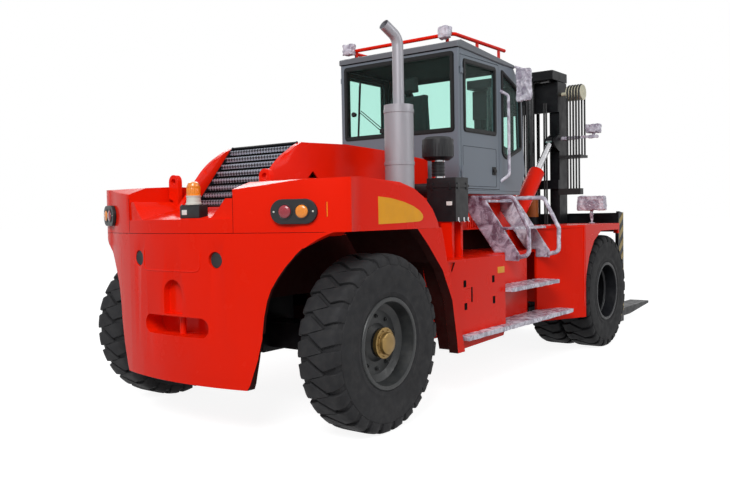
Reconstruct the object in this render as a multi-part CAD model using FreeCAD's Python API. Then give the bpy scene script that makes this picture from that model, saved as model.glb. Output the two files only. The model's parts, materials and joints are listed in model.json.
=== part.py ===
"""Container forklift: a 25 tonne class counterbalance truck with a two-stage mast.

Lengths are in millimetres and angles in degrees. While the pieces are shaped, X = 0 is
the rear steering axle, +X points to the forks, +Y is the driver's left and Z = 0 is the
ground. Every piece is then moved back so that X = 0 is the middle of the whole truck.
"""
import FreeCAD, Part
import math
import os

from FreeCAD import Vector

# Wheels and axles
wheelbase = 4600.0
tyre_radius = 690.0
tyre_width = 375.0
tyre_inner_radius = 345.0
tyre_side_bulge = 12.0
tyre_shoulder_radius = 640.0
tyre_wall_radius = 500.0
lug_depth = 30.0
lug_count = 26
lug_share = 0.5
lug_slope = 0.05
rim_wall = 22.0
disc_thickness = 30.0
dual_gap = 25.0
running_clearance = 0.05
face_clearance = 0.3
kingpin_radius = 45.0
spindle_radius = 60.0
steer_hub_radius = 120.0
hub_neck_radius = 112.0
hub_flange_radius = 118.0
hub_cap_radius = 84.0
axle_saddle = 320.0
drive_spindle_radius = 110.0
axle_tube_radius = 130.0
bowl_radius = 270.0

# Overall places along the truck
tail_overhang = 932.0
fork_face_ahead = 1000.0
fork_length = 2400.0

# Widths, all from the rear body
body_half_width = 1400.0
fender_stand_out = 40.0
side_box_inset = 70.0
sill_inset = 270.0
rear_wheel_stand_out = 12.0
front_wheel_stand_out = 27.0
kingpin_inset = 402.0
carriage_inset = 100.0
exhaust_inset = 500.0
cleaner_inset = 350.0
fender_half_width = body_half_width + fender_stand_out
side_box_half_width = body_half_width - side_box_inset
sill_half_width = body_half_width - sill_inset
rear_wheel_outer = body_half_width + rear_wheel_stand_out
front_wheel_outer = body_half_width + front_wheel_stand_out
kingpin_y = rear_wheel_outer - kingpin_inset
carriage_half_width = body_half_width - carriage_inset

# Rear body
ledge_z = 1265.0
seam_z = 1558.0
counterweight_bottom = 400.0
shell_wall = 40.0
deck_half_width = 620.0
notch_z = 1665.0
deck_front_x = -400.0
deck_front_z = 1765.0
notch_side = [(deck_half_width - 231, 1654.0), (deck_half_width - 173, 1702.0),
              (deck_half_width - 117, 1760.0),
              (deck_half_width - 89, 1796.0), (deck_half_width - 57, 1828.0), (deck_half_width, 1846.0)]
eye_inset = 71.0
louvre_count = 8
hood_half_width = 450.0
grille_half_width = 400.0
cheek_edge = [(-520.0, 1750.0), (-435.0, 1849.0), (-181.0, 2142.0), (20.0, 2262.0), (96.0, 2298.0)]
hood_top = 2300.0
hood_wall = 12.0
grille_foot_x = -340.0
grille_head_x = 150.0
rail_inner_y = 290.0
rail_outer_y = 400.0
rail_top = 1500.0
front_plate_y = 440.0

# Places along the truck that keep to the front axle
cab_setback = 2450.0
hood_to_cab = 100.0
ladder_from_cab = 280.0
ladder_length = 760.0
ladder_plate = 12.0
sill_setback = 1650.0
tilt_base_setback = 900.0
mast_ahead = 400.0
fender_rear_setback = 1370.0
panel_setback = 750.0
fender_front_ahead = 390.0
cab_rear_x = wheelbase - cab_setback
hood_front_x = cab_rear_x - hood_to_cab
ladder_x0 = cab_rear_x + ladder_from_cab
ladder_x1 = ladder_x0 + ladder_length
sill_front_x = wheelbase - sill_setback
case_front_x = ladder_x0 - 380.0
support_half_width = 700.0
fender_rear_x = wheelbase - fender_rear_setback
panel_x = wheelbase - panel_setback
fender_front_x = wheelbase + fender_front_ahead
fender_inner_y = 760.0
fender_top = 1520.0

# Cab
cab_half_width = 770.0
cab_floor_z = 1920.0
cab_roof_z = 3440.0
cab_wall = 40.0
door_rear_x = cab_rear_x + 42.0
door_front_x = door_rear_x + 839.0
door_gap = 6.0
rack_z = 3535.0
hinge_y = 782.0
hinge_heights = (2050.0, 3120.0)
door_window = (door_rear_x + 76.0, door_front_x - 86.0, 2545.0, 3260.0)
rear_window_half = 700.0
rear_window_low = 2540.0
rear_window_high = 3330.0
front_sill_x = cab_rear_x + 1500.0
sill_z = 2330.0
brow_x = front_sill_x - 45.0
brow_z = 3110.0
quarter_window = [(door_front_x + 79.0, 2345.0), (door_front_x + 169.0, 2290.0),
                  (front_sill_x - 70.0, 2420.0),
                  (front_sill_x - 95.0, 3090.0), (door_front_x + 79.0, 3262.0)]

# Mast, carriage and forks
mast_half_width = 640.0
mast_rear_x = wheelbase + mast_ahead
mast_depth = 250.0
mast_bottom = 330.0
mast_top = 3400.0
head_gap = 10.0
head_height = 120.0
web_thickness = 30.0
flange_thickness = 40.0
flange_width = 112.0
mast_gap = 8.0
mast_pivot_x = mast_rear_x - 50.0
mast_pivot_z = 520.0
mast_pin_radius = 50.0
fork_width = 300.0
fork_thickness = 115.0
fork_y = 720.0
fork_bottom = 95.0
carriage_top = 1650.0

# Tilt cylinders
tilt_base_x = wheelbase - tilt_base_setback
tilt_base_z = 1510.0
tilt_eye_x = mast_rear_x - 150.0
tilt_eye_z = 2590.0
tilt_y = 580.0
tilt_barrel_radius = 100.0
tilt_rod_radius = 40.0
tilt_pin_radius = 35.0

# Hoses, chains and lamps on the mast and tail
hose_count = 5
hose_radius = 12.0
hose_pitch = 39.0
hose_sheave_z = 3240.0
hose_sheave_radius = 86.0
chain_sheave_radius = 55.0
tail_lamp_z = 1708.0

# Lift cylinders
lift_y = 290.0
lift_behind = 140.0
lift_radius = 95.0
lift_rod_radius = 60.0
lift_mouth_z = 1960.0
lift_foot_z = 440.0

# Exhaust and air cleaner
exhaust_x = 885.0
exhaust_y = exhaust_inset - body_half_width
muffler_radius = 130.0
stack_radius = 50.0
cleaner_x = (exhaust_x + cab_rear_x) / 2
cleaner_y = cleaner_inset - body_half_width
cleaner_neck_in = 130.0

front_axle_x = wheelbase
fork_face_x = wheelbase + fork_face_ahead
fork_tip_x = fork_face_x + fork_length
middle_x = (fork_tip_x - tail_overhang) / 2
axle_z = tyre_radius

AXIS_Y = Vector(0, 1, 0)


def box(x0, x1, y0, y1, z0, z1):
    corner = Vector(min(x0, x1), min(y0, y1), min(z0, z1))
    return Part.makeBox(abs(x1 - x0), abs(y1 - y0), abs(z1 - z0), corner)


def rod(radius, start, end):
    way = Vector(*end) - Vector(*start)
    return Part.makeCylinder(radius, way.Length, Vector(*start), way)


def prism(points, way):
    wire = Part.makePolygon([Vector(*p) for p in points] + [Vector(*points[0])])
    return Part.Face(wire).extrude(Vector(*way))


def side_prism(outline, y0, y1):
    """A plate whose outline is given in X and Z."""
    return prism([(x, y0, z) for x, z in outline], (0, y1 - y0, 0))


def plan_prism(outline, z0, z1):
    """A plate whose outline is given in X and Y."""
    return prism([(x, y, z0) for x, y in outline], (0, 0, z1 - z0))


def cross_prism(outline, x0, x1):
    """A plate whose outline is given in Y and Z."""
    return prism([(x0, y, z) for y, z in outline], (x1 - x0, 0, 0))


def fuse(shapes):
    whole = shapes[0]
    for shape in shapes[1:]:
        whole = whole.fuse(shape)
    return whole.removeSplitter()


def mirrored(shape):
    return shape.mirror(Vector(0, 0, 0), AXIS_Y)


def both_sides(shape):
    return [shape, mirrored(shape)]


def pipe_run(points, radius, bend):
    """A round pipe through the points, with tangent arcs at its corners."""
    corners = [Vector(*p) for p in points]
    edges = []
    start = corners[0]
    for before, corner, after in zip(corners, corners[1:], corners[2:]):
        way_in = (corner - before).normalize()
        way_out = (after - corner).normalize()
        turn = way_in.getAngle(way_out)
        trim = bend * math.tan(turn / 2)
        arc_start = corner - way_in * trim
        arc_end = corner + way_out * trim
        inward = (way_out - way_in).normalize()
        middle = corner + inward * (bend / math.cos(turn / 2) - bend)
        edges.append(Part.makeLine(start, arc_start))
        edges.append(Part.Arc(arc_start, middle, arc_end).toShape())
        start = arc_end
    edges.append(Part.makeLine(start, corners[-1]))
    path = Part.Wire(edges)
    first_way = corners[1] - corners[0]
    section = Part.Wire(Part.Circle(corners[0], first_way, radius).toShape())
    return path.makePipeShell([section], True, True)


def save(name, *shapes):
    pieces = []
    for shape in shapes:
        pieces.extend(shape.Solids)
    whole = Part.makeCompound(pieces) if len(pieces) > 1 else pieces[0]
    whole.translate(Vector(-middle_x, 0, 0))
    whole.exportStep(os.path.join("parts", name + ".step"))


def toothed_ring(centre_x, y0, y1, phase):
    """Half of a tread, whose teeth are the lugs."""
    pitch = 2 * math.pi / lug_count
    crown_half = pitch * lug_share / 2
    root_half = crown_half + pitch * lug_slope
    root = tyre_radius - lug_depth
    outline = []
    for index in range(lug_count):
        middle = pitch * (index + phase)
        for radius, turn in ((root, -root_half), (tyre_radius, -crown_half), (tyre_radius, crown_half),
                             (root, root_half)):
            outline.append((centre_x + radius * math.sin(middle + turn),
                            axle_z + radius * math.cos(middle + turn)))
    return side_prism(outline, y0, y1)


def ring_points(centre_x, radius, y):
    pitch = 2 * math.pi / lug_count
    points = []
    for index in range(lug_count + 1):
        points.append(Vector(centre_x + radius * math.sin(pitch * index), y,
                             axle_z + radius * math.cos(pitch * index)))
    return points


def flat_sided_cone(centre_x, radius0, y0, radius1, y1):
    """A frustum about the wheel axis, with as many flat sides as the tread has lugs."""
    low = ring_points(centre_x, radius0, y0)
    high = ring_points(centre_x, radius1, y1)
    faces = [Part.Face(Part.makePolygon(low)), Part.Face(Part.makePolygon(high))]
    for index in range(lug_count):
        faces.append(Part.Face(Part.makePolygon([low[index], low[index + 1], high[index + 1], high[index],
                                                 low[index]])))
    return Part.Solid(Part.Shell(faces))


def tyre(centre_x, y0, y1):
    """A tyre from its inner face y0 to its outer face y1, with lugs in two staggered rows."""
    shoulder = y1 - tyre_side_bulge
    middle = (y0 + shoulder) / 2
    treads = [toothed_ring(centre_x, y0, middle, 0.0), toothed_ring(centre_x, middle, shoulder, 0.5)]
    wall = flat_sided_cone(centre_x, tyre_shoulder_radius, shoulder, tyre_wall_radius, y1)
    bead_radius = tyre_inner_radius / math.cos(math.pi / lug_count) + running_clearance
    bead = flat_sided_cone(centre_x, bead_radius, y0 - 10, bead_radius, y1 + 10)
    return fuse(treads + [wall]).cut(bead)


def turned(centre_x, outline):
    """A solid turned about the wheel axis from points of radius and Y."""
    profile = [(centre_x + r, y, axle_z) for r, y in outline]
    wire = Part.makePolygon([Vector(*p) for p in profile + profile[:1]])
    return Part.Face(wire).revolve(Vector(centre_x, 0, axle_z), AXIS_Y, 360)


def build_rear_wheels():
    outer = rear_wheel_outer
    inner = outer - tyre_width
    disc_y = outer - 175.0
    rim_outer_radius = tyre_inner_radius
    rim_inner_radius = rim_outer_radius - rim_wall
    bore = spindle_radius + running_clearance
    hub_end = outer - 20.0
    flange_y = outer - 77.0
    rim = turned(0, [
        (rim_inner_radius, inner + 12), (rim_outer_radius, inner + 12), (rim_outer_radius, outer - 12),
        (rim_inner_radius, outer - 12), (rim_inner_radius - 20, disc_y + 60), (250, disc_y + disc_thickness),
        (steer_hub_radius + 30, disc_y + disc_thickness), (hub_neck_radius, disc_y + 60),
        (hub_neck_radius, flange_y), (hub_flange_radius, flange_y), (hub_flange_radius, flange_y + 15),
        (hub_cap_radius, flange_y + 15), (hub_cap_radius, hub_end - 14), (hub_cap_radius - 14, hub_end),
        (0, hub_end),
        (0, disc_y + 100), (bore, disc_y + 100), (bore, disc_y - 60), (steer_hub_radius + 20, disc_y - 60),
        (steer_hub_radius + 20, disc_y), (250, disc_y), (rim_inner_radius, disc_y + 40)])
    holes = []
    for index in range(10):
        angle = math.radians(36 * index)
        x = 205 * math.sin(angle)
        z = axle_z + 205 * math.cos(angle)
        holes.append(rod(17, (x, disc_y - 5, z), (x, disc_y + disc_thickness + 5, z)))
    rim = rim.cut(Part.makeCompound(holes))
    rubber = tyre(0, inner, outer)
    save("rear_tyre_left", rubber)
    save("rear_tyre_right", mirrored(rubber))
    save("rear_rim_left", rim)
    save("rear_rim_right", mirrored(rim))


def build_knuckles():
    disc_y = rear_wheel_outer - 175.0
    spindle = rod(spindle_radius, (0, kingpin_y, axle_z), (0, disc_y + 99, axle_z))
    block = box(-75, 75, kingpin_y - 70, kingpin_y + 75, axle_z - 100, axle_z + 100)
    pin = rod(kingpin_radius, (0, kingpin_y, axle_z - 200), (0, kingpin_y, axle_z + 160))
    arm = box(-235, 40, kingpin_y - 50, kingpin_y + 20, axle_z - 200, axle_z - 160)
    knuckle = fuse([block, spindle, pin, arm])
    save("knuckle_left", knuckle)
    save("knuckle_right", mirrored(knuckle))


def build_steer_axle():
    reach = kingpin_y + 62
    beam = box(-110, 110, -(kingpin_y - 90), kingpin_y - 90, axle_z - 110, axle_z + 110)
    ears = []
    for low in (axle_z - 150, axle_z + 101):
        ears.append(box(-70, 70, kingpin_y - 180, reach, low, low + 49))
        ears.append(box(-70, 70, -(kingpin_y - 180), -reach, low, low + 49))
    webs = []
    for side in (1, -1):
        webs.append(box(-110, 110, side * (kingpin_y - 230), side * (kingpin_y - 90),
                        axle_z - 150, axle_z + 150))
    centre = box(-190, 190, -230, 230, axle_z - 150, axle_z + axle_saddle)
    beam = fuse([beam, centre] + webs + ears)
    bore = kingpin_radius + running_clearance
    swing_radius = 120
    for side in (1, -1):
        y = side * kingpin_y
        beam = beam.cut(rod(bore, (0, y, axle_z - 200), (0, y, axle_z + 200)))
        beam = beam.cut(box(-120, 120, y, side * (kingpin_y + 90), axle_z - 101, axle_z + 101))
        beam = beam.cut(rod(swing_radius, (0, y, axle_z - 101), (0, y, axle_z + 101)))
    save("steer_axle", beam)


def build_front_wheels():
    outer = front_wheel_outer
    tyres = []
    bore = drive_spindle_radius + running_clearance
    for number in (0, 1):
        high = outer - number * (tyre_width + dual_gap)
        low = high - tyre_width
        tyres.append(tyre(front_axle_x, low, high))
    inner_low = outer - 2 * tyre_width - dual_gap
    hub_face = outer - 330.0
    radius = tyre_inner_radius
    rim = turned(front_axle_x, [
        (radius - rim_wall, inner_low + 12), (radius, inner_low + 12), (radius, outer - 12),
        (radius - rim_wall, outer - 12), (radius - rim_wall, hub_face + disc_thickness),
        (165, hub_face + disc_thickness), (150, hub_face + 150), (0, hub_face + 150),
        (0, hub_face + 60), (bore, hub_face + 60), (bore, hub_face), (radius - rim_wall, hub_face)])
    save("front_tyres_left", *tyres)
    save("front_tyres_right", *[mirrored(t) for t in tyres])
    save("front_rims_left", rim)
    save("front_rims_right", mirrored(rim))


def build_drive_axle():
    hub_face = front_wheel_outer - 330.0
    spindle_end = hub_face + 59
    tube = rod(axle_tube_radius, (front_axle_x, -900, axle_z), (front_axle_x, 900, axle_z))
    spindle = rod(drive_spindle_radius, (front_axle_x, -spindle_end, axle_z),
                  (front_axle_x, spindle_end, axle_z))
    brakes = []
    for side in (1, -1):
        brakes.append(rod(250, (front_axle_x, side * 690, axle_z), (front_axle_x, side * 880, axle_z)))
    bowl = Part.makeSphere(bowl_radius, Vector(front_axle_x, 0, axle_z))
    save("drive_axle", fuse([tube, spindle, bowl] + brakes))


def plan_outline(inset):
    """Half plan of the rear body, from its rear centre to the flank, as arcs and lines."""
    rear = -tail_overhang + inset
    flank = body_half_width - inset
    corner_start = Vector(rear + 222, body_half_width * 0.771 - inset * 0.6, 0)
    arc = Part.Arc(Vector(rear, 0, 0), Vector(rear + 62, body_half_width * 0.421, 0), corner_start)
    corner = Part.Arc(corner_start, Vector(rear + 318, body_half_width * 0.921 - inset, 0),
                      Vector(rear + 470, flank, 0))
    return arc, corner, flank


def rear_block(inset, x_end, z0, z1):
    arc, corner, flank = plan_outline(inset)
    end = corner.toShape().Vertexes[-1].Point
    edges = [arc.toShape(), corner.toShape(), Part.makeLine(end, Vector(x_end, flank, 0)),
             Part.makeLine(Vector(x_end, flank, 0), Vector(x_end, 0, 0)),
             Part.makeLine(Vector(x_end, 0, 0), Vector(-tail_overhang + inset, 0, 0))]
    face = Part.Face(Part.Wire(edges))
    half = face.extrude(Vector(0, 0, z1 - z0))
    half.translate(Vector(0, 0, z0))
    return half


def build_counterweight():
    half = rear_block(0, -420, counterweight_bottom, seam_z)
    taper = [(0.5, counterweight_bottom - 10), (0.525, 450), (0.571, 640), (0.607, 850), (0.664, 1150),
             (0.721, 1290), (0.8, 1420), (0.893, 1510), (0.964, seam_z + 10)]
    width_at = [(0, counterweight_bottom - 10)] + [(body_half_width * share, z) for share, z in taper]
    width_at.append((0, seam_z + 10))
    half = half.common(cross_prism(width_at, -tail_overhang - 50, 0))
    sweep = math.hypot(tyre_radius, rear_wheel_outer - kingpin_y) + 22
    half = half.cut(rod(sweep, (0, kingpin_y, 0), (0, kingpin_y, 1440)))
    half = half.cut(side_prism([(-700, 1440), (200, 1440), (200, seam_z - 30), (-560, seam_z - 30)],
                               560, body_half_width + 100))
    weight = fuse([half, mirrored(half)])
    rear = -tail_overhang
    slot_low = 765
    slot_high = 915
    slot_radius = (slot_high - slot_low) / 2
    slot_z = (slot_high + slot_low) / 2
    plug_y = 454
    plug_z = 1358
    slot = fuse([box(rear - 50, rear + 190, -300, 300, slot_low, slot_high)]
                + [rod(slot_radius, (rear - 50, s * 300, slot_z),
                       (rear + 190, s * 300, slot_z)) for s in (1, -1)])
    throat = fuse([box(rear - 50, rear + 60, -110, 110, 930, 1090),
                   rod(110, (rear - 50, 0, 1090), (rear + 60, 0, 1090))])
    weight = weight.cut(slot).cut(throat)
    for side in (1, -1):
        weight = weight.cut(rod(62, (rear - 30, side * plug_y, plug_z), (rear + 90, side * plug_y, plug_z)))
    save("counterweight", weight)
    pin = rod(28, (rear + 95, 0, slot_low), (rear + 95, 0, slot_high))
    plugs = [rod(61, (rear + 45, s * plug_y, plug_z), (rear + 90, s * plug_y, plug_z)) for s in (1, -1)]
    save("rear_fittings", pin, *plugs)


fender_profile = [(-tail_overhang - 20, 1848), (-690, 1936), (-341, 1953), (165, 1926), (360, 1880),
                  (518, 1804), (630, 1715), (697, 1623), (730, seam_z)]


def build_rear_fenders():
    side = [(-tail_overhang - 20, seam_z)] + fender_profile
    outer = rear_block(0, 730, seam_z, 2000).common(side_prism(side, -10, 1500))
    outer = outer.cut(box(-1000, 800, -10, deck_half_width, 1500, 2100))
    lowered = [(x + (shell_wall if x < 0 else -shell_wall), z - shell_wall) for x, z in fender_profile]
    inner_side = [(lowered[0][0], seam_z - 20)] + lowered[:-1] + [(690, seam_z - 20)]
    hollow = rear_block(shell_wall, 690, seam_z - 20, 2000).common(side_prism(inner_side, -10, 1500))
    hollow = hollow.cut(box(-1000, 800, -10, deck_half_width + shell_wall, 1500, 2100))
    fender = outer.cut(hollow)
    save("rear_fenders", *both_sides(fender))


def notch_ramps(lift):
    """The rising sides of the notch between the rear fenders, raised by the lift."""
    outline = [(y - lift, z + lift) for y, z in notch_side]
    outline = [(outline[0][0], 1640)] + outline + [(deck_half_width + 10, outline[-1][1]),
                                                   (deck_half_width + 10, 1640)]
    ramp = cross_prism(outline, -tail_overhang - 10, -300)
    return Part.makeCompound([ramp, mirrored(ramp)])


def build_rear_deck():
    rear = -tail_overhang
    wall = rear_block(0, 0, seam_z, notch_z).cut(rear_block(shell_wall, 10, seam_z - 5, notch_z + 5))
    wall = wall.common(box(rear - 10, deck_front_x, -10, deck_half_width - face_clearance,
                           seam_z - 10, notch_z + 10))
    wall = fuse([wall, mirrored(wall)])
    under = deck_front_z - 25
    deck = side_prism([(rear + 20, notch_z - 25), (rear + 20, notch_z), (deck_front_x, deck_front_z),
                       (200, deck_front_z), (200, under), (deck_front_x, under)],
                      -(deck_half_width - face_clearance), deck_half_width - face_clearance)
    inner_block = rear_block(shell_wall / 4, 300, seam_z, deck_front_z + 50)
    deck = deck.common(fuse([inner_block, mirrored(inner_block)]))
    ramps = notch_ramps(0).common(fuse([inner_block, mirrored(inner_block)]))
    ramps = ramps.common(box(rear - 10, 0, -(deck_half_width - face_clearance),
                             deck_half_width - face_clearance,
                             seam_z, 1900))
    save("rear_deck", fuse([wall, deck, ramps]))


def above_deck(shape):
    """What is left of a piece over the sloping rear deck, with a thin seat."""
    start = -tail_overhang + 20
    slope = (deck_front_z - notch_z) / (deck_front_x - start)
    low = notch_z + face_clearance + slope * -200
    under = [(start - 200, 1400), (start - 200, low), (deck_front_x, deck_front_z + face_clearance),
             (300, deck_front_z + face_clearance), (300, 1400)]
    return shape.cut(side_prism(under, -800, 800))


def build_lifting_eyes():
    eyes = []
    for side in (1, -1):
        y = side * (deck_half_width - eye_inset)
        lug = fuse([box(-458, -408, y - 60, y + 60, 1700, 1990), rod(60, (-458, y, 1990), (-408, y, 1990))])
        lug = lug.cut(rod(28, (-470, y, 1988), (-400, y, 1988))).cut(notch_ramps(face_clearance))
        eyes.append(above_deck(lug))
    save("lifting_eyes", *eyes)


def build_hood():
    skirt = ledge_z + face_clearance
    foot = deck_front_z + face_clearance
    profile = [(grille_foot_x + 130, foot), (grille_head_x + 60, hood_top), (700, hood_top + 15),
               (1280, hood_top - 5), (hood_front_x, hood_top - 60), (hood_front_x, skirt), (1000, skirt),
               (900, foot)]
    outer = side_prism(profile, -hood_half_width, hood_half_width)
    inner = [(grille_foot_x + 100, 1200), (grille_foot_x + 100, 1700),
             (grille_head_x + 66, hood_top - hood_wall),
             (700, hood_top + 3), (1280, hood_top - 17), (hood_front_x - hood_wall, hood_top - 72),
             (hood_front_x - hood_wall, 1200)]
    shell = outer.cut(side_prism(inner, -hood_half_width + hood_wall, hood_half_width - hood_wall))
    shell = shell.cut(box(1900, hood_front_x + 10, -rail_outer_y - face_clearance,
                          rail_outer_y + face_clearance,
                          1200, rail_top + face_clearance))
    cheek = side_prism(cheek_edge + [(grille_head_x + 120, hood_top), (-100, deck_front_z), (-100, 1700),
                                     (-520, 1700)],
                       grille_half_width, hood_half_width)
    cheek = above_deck(cheek)
    mark = side_prism([(168, 2000), (298, 2000), (234, 2060)], -hood_half_width - 10, 10 - grille_half_width)
    shell = fuse([shell, cheek, mirrored(cheek)]).cut(mark)
    save("hood", shell)
    reach = grille_half_width - face_clearance
    frame = side_prism([(grille_foot_x, foot), (grille_foot_x + 120, foot), (grille_head_x + 50, hood_top),
                        (grille_head_x - 40, hood_top)], -reach, reach)
    ribs = []
    slope = math.atan2(hood_top - foot, grille_head_x - 40 - grille_foot_x)
    length = math.hypot(hood_top - foot, grille_head_x - 40 - grille_foot_x)
    for index in range(8):
        along = (index + 0.6) * length / 8.3
        x = grille_foot_x + along * math.cos(slope)
        z = foot + along * math.sin(slope)
        rib = box(-18, 8, 15 - reach, reach - 15, -16, 16)
        rib.rotate(Vector(0, 0, 0), AXIS_Y, 45 - math.degrees(slope))
        rib.translate(Vector(x, 0, z))
        ribs.append(rib)
    save("radiator_grille", fuse([frame] + ribs))
    engine_half = rail_inner_y - face_clearance
    save("engine", box(400, hood_front_x - 400, -engine_half, engine_half, 700, 1700))


def build_frame():
    rails = []
    for side in (1, -1):
        rails.append(box(-400, tilt_base_x, side * rail_inner_y, side * rail_outer_y, 1015, rail_top))
        rails.append(box(300, tilt_base_x, side * rail_inner_y, side * rail_outer_y, 560, 1020))
        rails.append(side_prism([(tilt_base_x - 100, 560), (tilt_base_x - 100, rail_top),
                                 (tilt_base_x - 60, 1580),
                                 (tilt_base_x + 60, 1580), (tilt_base_x + 200, rail_top),
                                 (mast_rear_x - 20, rail_top), (mast_rear_x - 20, 1020),
                                 (mast_rear_x + 10, 560),
                                 (mast_rear_x + 10, 460), (mast_rear_x - 120, 460),
                                 (front_axle_x - 300, 400), (tilt_base_x, 400)],
                                side * front_plate_y, side * rail_outer_y))
        rails.append(box(tilt_base_x - 100, tilt_base_x + 20, side * rail_inner_y, side * front_plate_y,
                         560, rail_top))
    reach = rail_inner_y + 10
    crosses = [box(-400, -250, -reach, reach, 1015, rail_top), box(300, 360, -reach, reach, 600, 880),
               box(hood_front_x - 300, hood_front_x - 150, -reach, reach, 600, rail_top),
               box(tilt_base_x - 60, tilt_base_x, -front_plate_y, front_plate_y, 600, rail_top)]
    mounts = [box(-190, 190, -reach, reach, axle_z + axle_saddle + face_clearance, 1060)]
    pins = []
    for side in (1, -1):
        pins.append(rod(tilt_pin_radius, (tilt_base_x, side * rail_outer_y, tilt_base_z),
                        (tilt_base_x, side * (tilt_y + 50), tilt_base_z)))
    for side in (1, -1):
        pins.append(rod(mast_pin_radius, (mast_pivot_x, side * rail_outer_y, mast_pivot_z),
                        (mast_pivot_x, side * (mast_half_width - 10), mast_pivot_z)))
    frame = fuse(rails + crosses + mounts + pins)
    frame = frame.cut(rod(axle_tube_radius + face_clearance, (front_axle_x, -700, axle_z),
                          (front_axle_x, 700, axle_z)))
    save("chassis_frame", frame)


def build_side_bodies():
    boxes = []
    case_rear = 860.0
    for side in (1, -1):
        body = side_prism([(1010, 560), (945, 932), (870, ledge_z), (sill_front_x, ledge_z),
                           (sill_front_x, 560)],
                          side * (rail_outer_y + face_clearance), side * sill_half_width)
        case = side_prism([(1133, 458), (1074, 674), (case_rear, ledge_z), (case_front_x, ledge_z),
                           (case_front_x, 560), (case_front_x - 50, 480)],
                          side * sill_half_width, side * side_box_half_width)
        arch = side_prism([(400, seam_z - face_clearance), (560, 1418), (775, 1199), (925, 932), (995, 578),
                           (1010, 458), (1133, 458), (1074, 674), (856, 1257),
                           (769, seam_z - face_clearance)],
                          side * (body_half_width - 90), side * body_half_width)
        bulkhead = side_prism([(600, seam_z - face_clearance), (640, seam_z - face_clearance),
                               (890, ledge_z - 10),
                               (850, ledge_z - 10)], side * (hood_half_width + 20),
                               side * (body_half_width - 80))
        slots = []
        for share in (0.36, 0.81):
            x = case_rear + share * (case_front_x - case_rear)
            for z in (880, 1010):
                slots.append(box(x - 70, x + 70, side * (side_box_half_width - 12),
                                 side * (side_box_half_width + 10), z - 16, z + 16))
        slots.append(side_prism([(1000, 1245), (1096, 1245), (1040, 1160)],
                                side * (side_box_half_width - 15), side * (side_box_half_width + 10)))
        boxes.append(fuse([body, case, arch, bulkhead]).cut(Part.makeCompound(slots)))
    save("side_boxes", *boxes)
    front = cab_rear_x + 1440
    upper = box(hood_front_x + 10, front, -support_half_width, support_half_width, rail_top,
                cab_floor_z - cab_wall)
    room = support_half_width - cab_wall
    upper = upper.cut(box(hood_front_x + 50, front - cab_wall, -room, room, rail_top - 10,
                          cab_floor_z - 2 * cab_wall))
    for side in (1, -1):
        for index in range(louvre_count):
            x = ladder_x0 - 20 + 48 * index
            upper = upper.cut(box(x, x + 22, side * (room - 10), side * (support_half_width + 10), 1520,
                                  1620))
    save("cab_support", upper)


def build_front_fenders():
    fenders = []
    for side in (1, -1):
        top = plan_prism([(fender_rear_x, side * fender_inner_y),
                          (fender_rear_x, side * (sill_half_width + 48)),
                          (panel_x, side * fender_half_width), (fender_front_x, side * fender_half_width),
                          (fender_front_x, side * fender_inner_y)], fender_top - 30, fender_top)
        panel = plan_prism([(fender_rear_x - 34, side * (sill_half_width + 1)),
                            (panel_x, side * fender_half_width),
                            (panel_x, side * (fender_half_width - 25)),
                            (fender_rear_x - 34, side * (sill_half_width - 25))], 455, fender_top - 20)
        back = box(panel_x - 30, panel_x, side * 660, side * (fender_half_width - 5), 600, fender_top - 20)
        skirt = side_prism([(panel_x, fender_top - 20), (fender_front_x - 5, fender_top - 20),
                            (fender_front_x - 5, 1440), (front_axle_x + 250, 1440),
                            (front_axle_x - 250, 1440),
                            (front_axle_x - 480, 1330), (front_axle_x - 640, 1150),
                            (front_axle_x - 730, 950),
                            (panel_x, 850)], side * (fender_half_width - 20), side * fender_half_width)
        inner = box(fender_rear_x, panel_x, side * fender_inner_y, side * (fender_inner_y + 20),
                    ledge_z - 10,
                    fender_top - 30)
        floor_start = sill_front_x + face_clearance
        floor = plan_prism([(floor_start, side * (front_plate_y + 1)),
                            (panel_x - 30, side * (front_plate_y + 1)),
                            (panel_x - 30, side * (fender_half_width - 30)),
                            (fender_rear_x - 20, side * (sill_half_width - 10)),
                            (fender_rear_x - 40, side * (sill_half_width - 30)),
                            (floor_start, side * (sill_half_width - 30))], ledge_z - 30, ledge_z)
        fenders.append(fuse([top, panel, back, skirt, inner, floor]))
    save("front_fenders", *fenders)


def build_steps():
    treads = []
    for side in (1, -1):
        wall_y = sill_half_width + face_clearance
        lower = box(1150, panel_x - 350, side * wall_y, side * (fender_half_width - 10), 548, 590)
        lower = lower.cut(box(1100, case_front_x + face_clearance, side * (sill_half_width - 30),
                              side * (side_box_half_width + face_clearance), 500, 700))
        upper = box(case_front_x + 10, panel_x - 650, side * wall_y, side * body_half_width, 900, 940)
        behind_panel = plan_prism([(fender_rear_x - 130, side * (sill_half_width - 44)),
                                   (panel_x, side * (fender_half_width + 1)),
                                   (panel_x, side * (sill_half_width - 130))], 500, 1000)
        upper = upper.cut(behind_panel)
        lower = lower.cut(behind_panel)
        treads.extend([lower, upper])
    save("steps", *treads)


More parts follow.
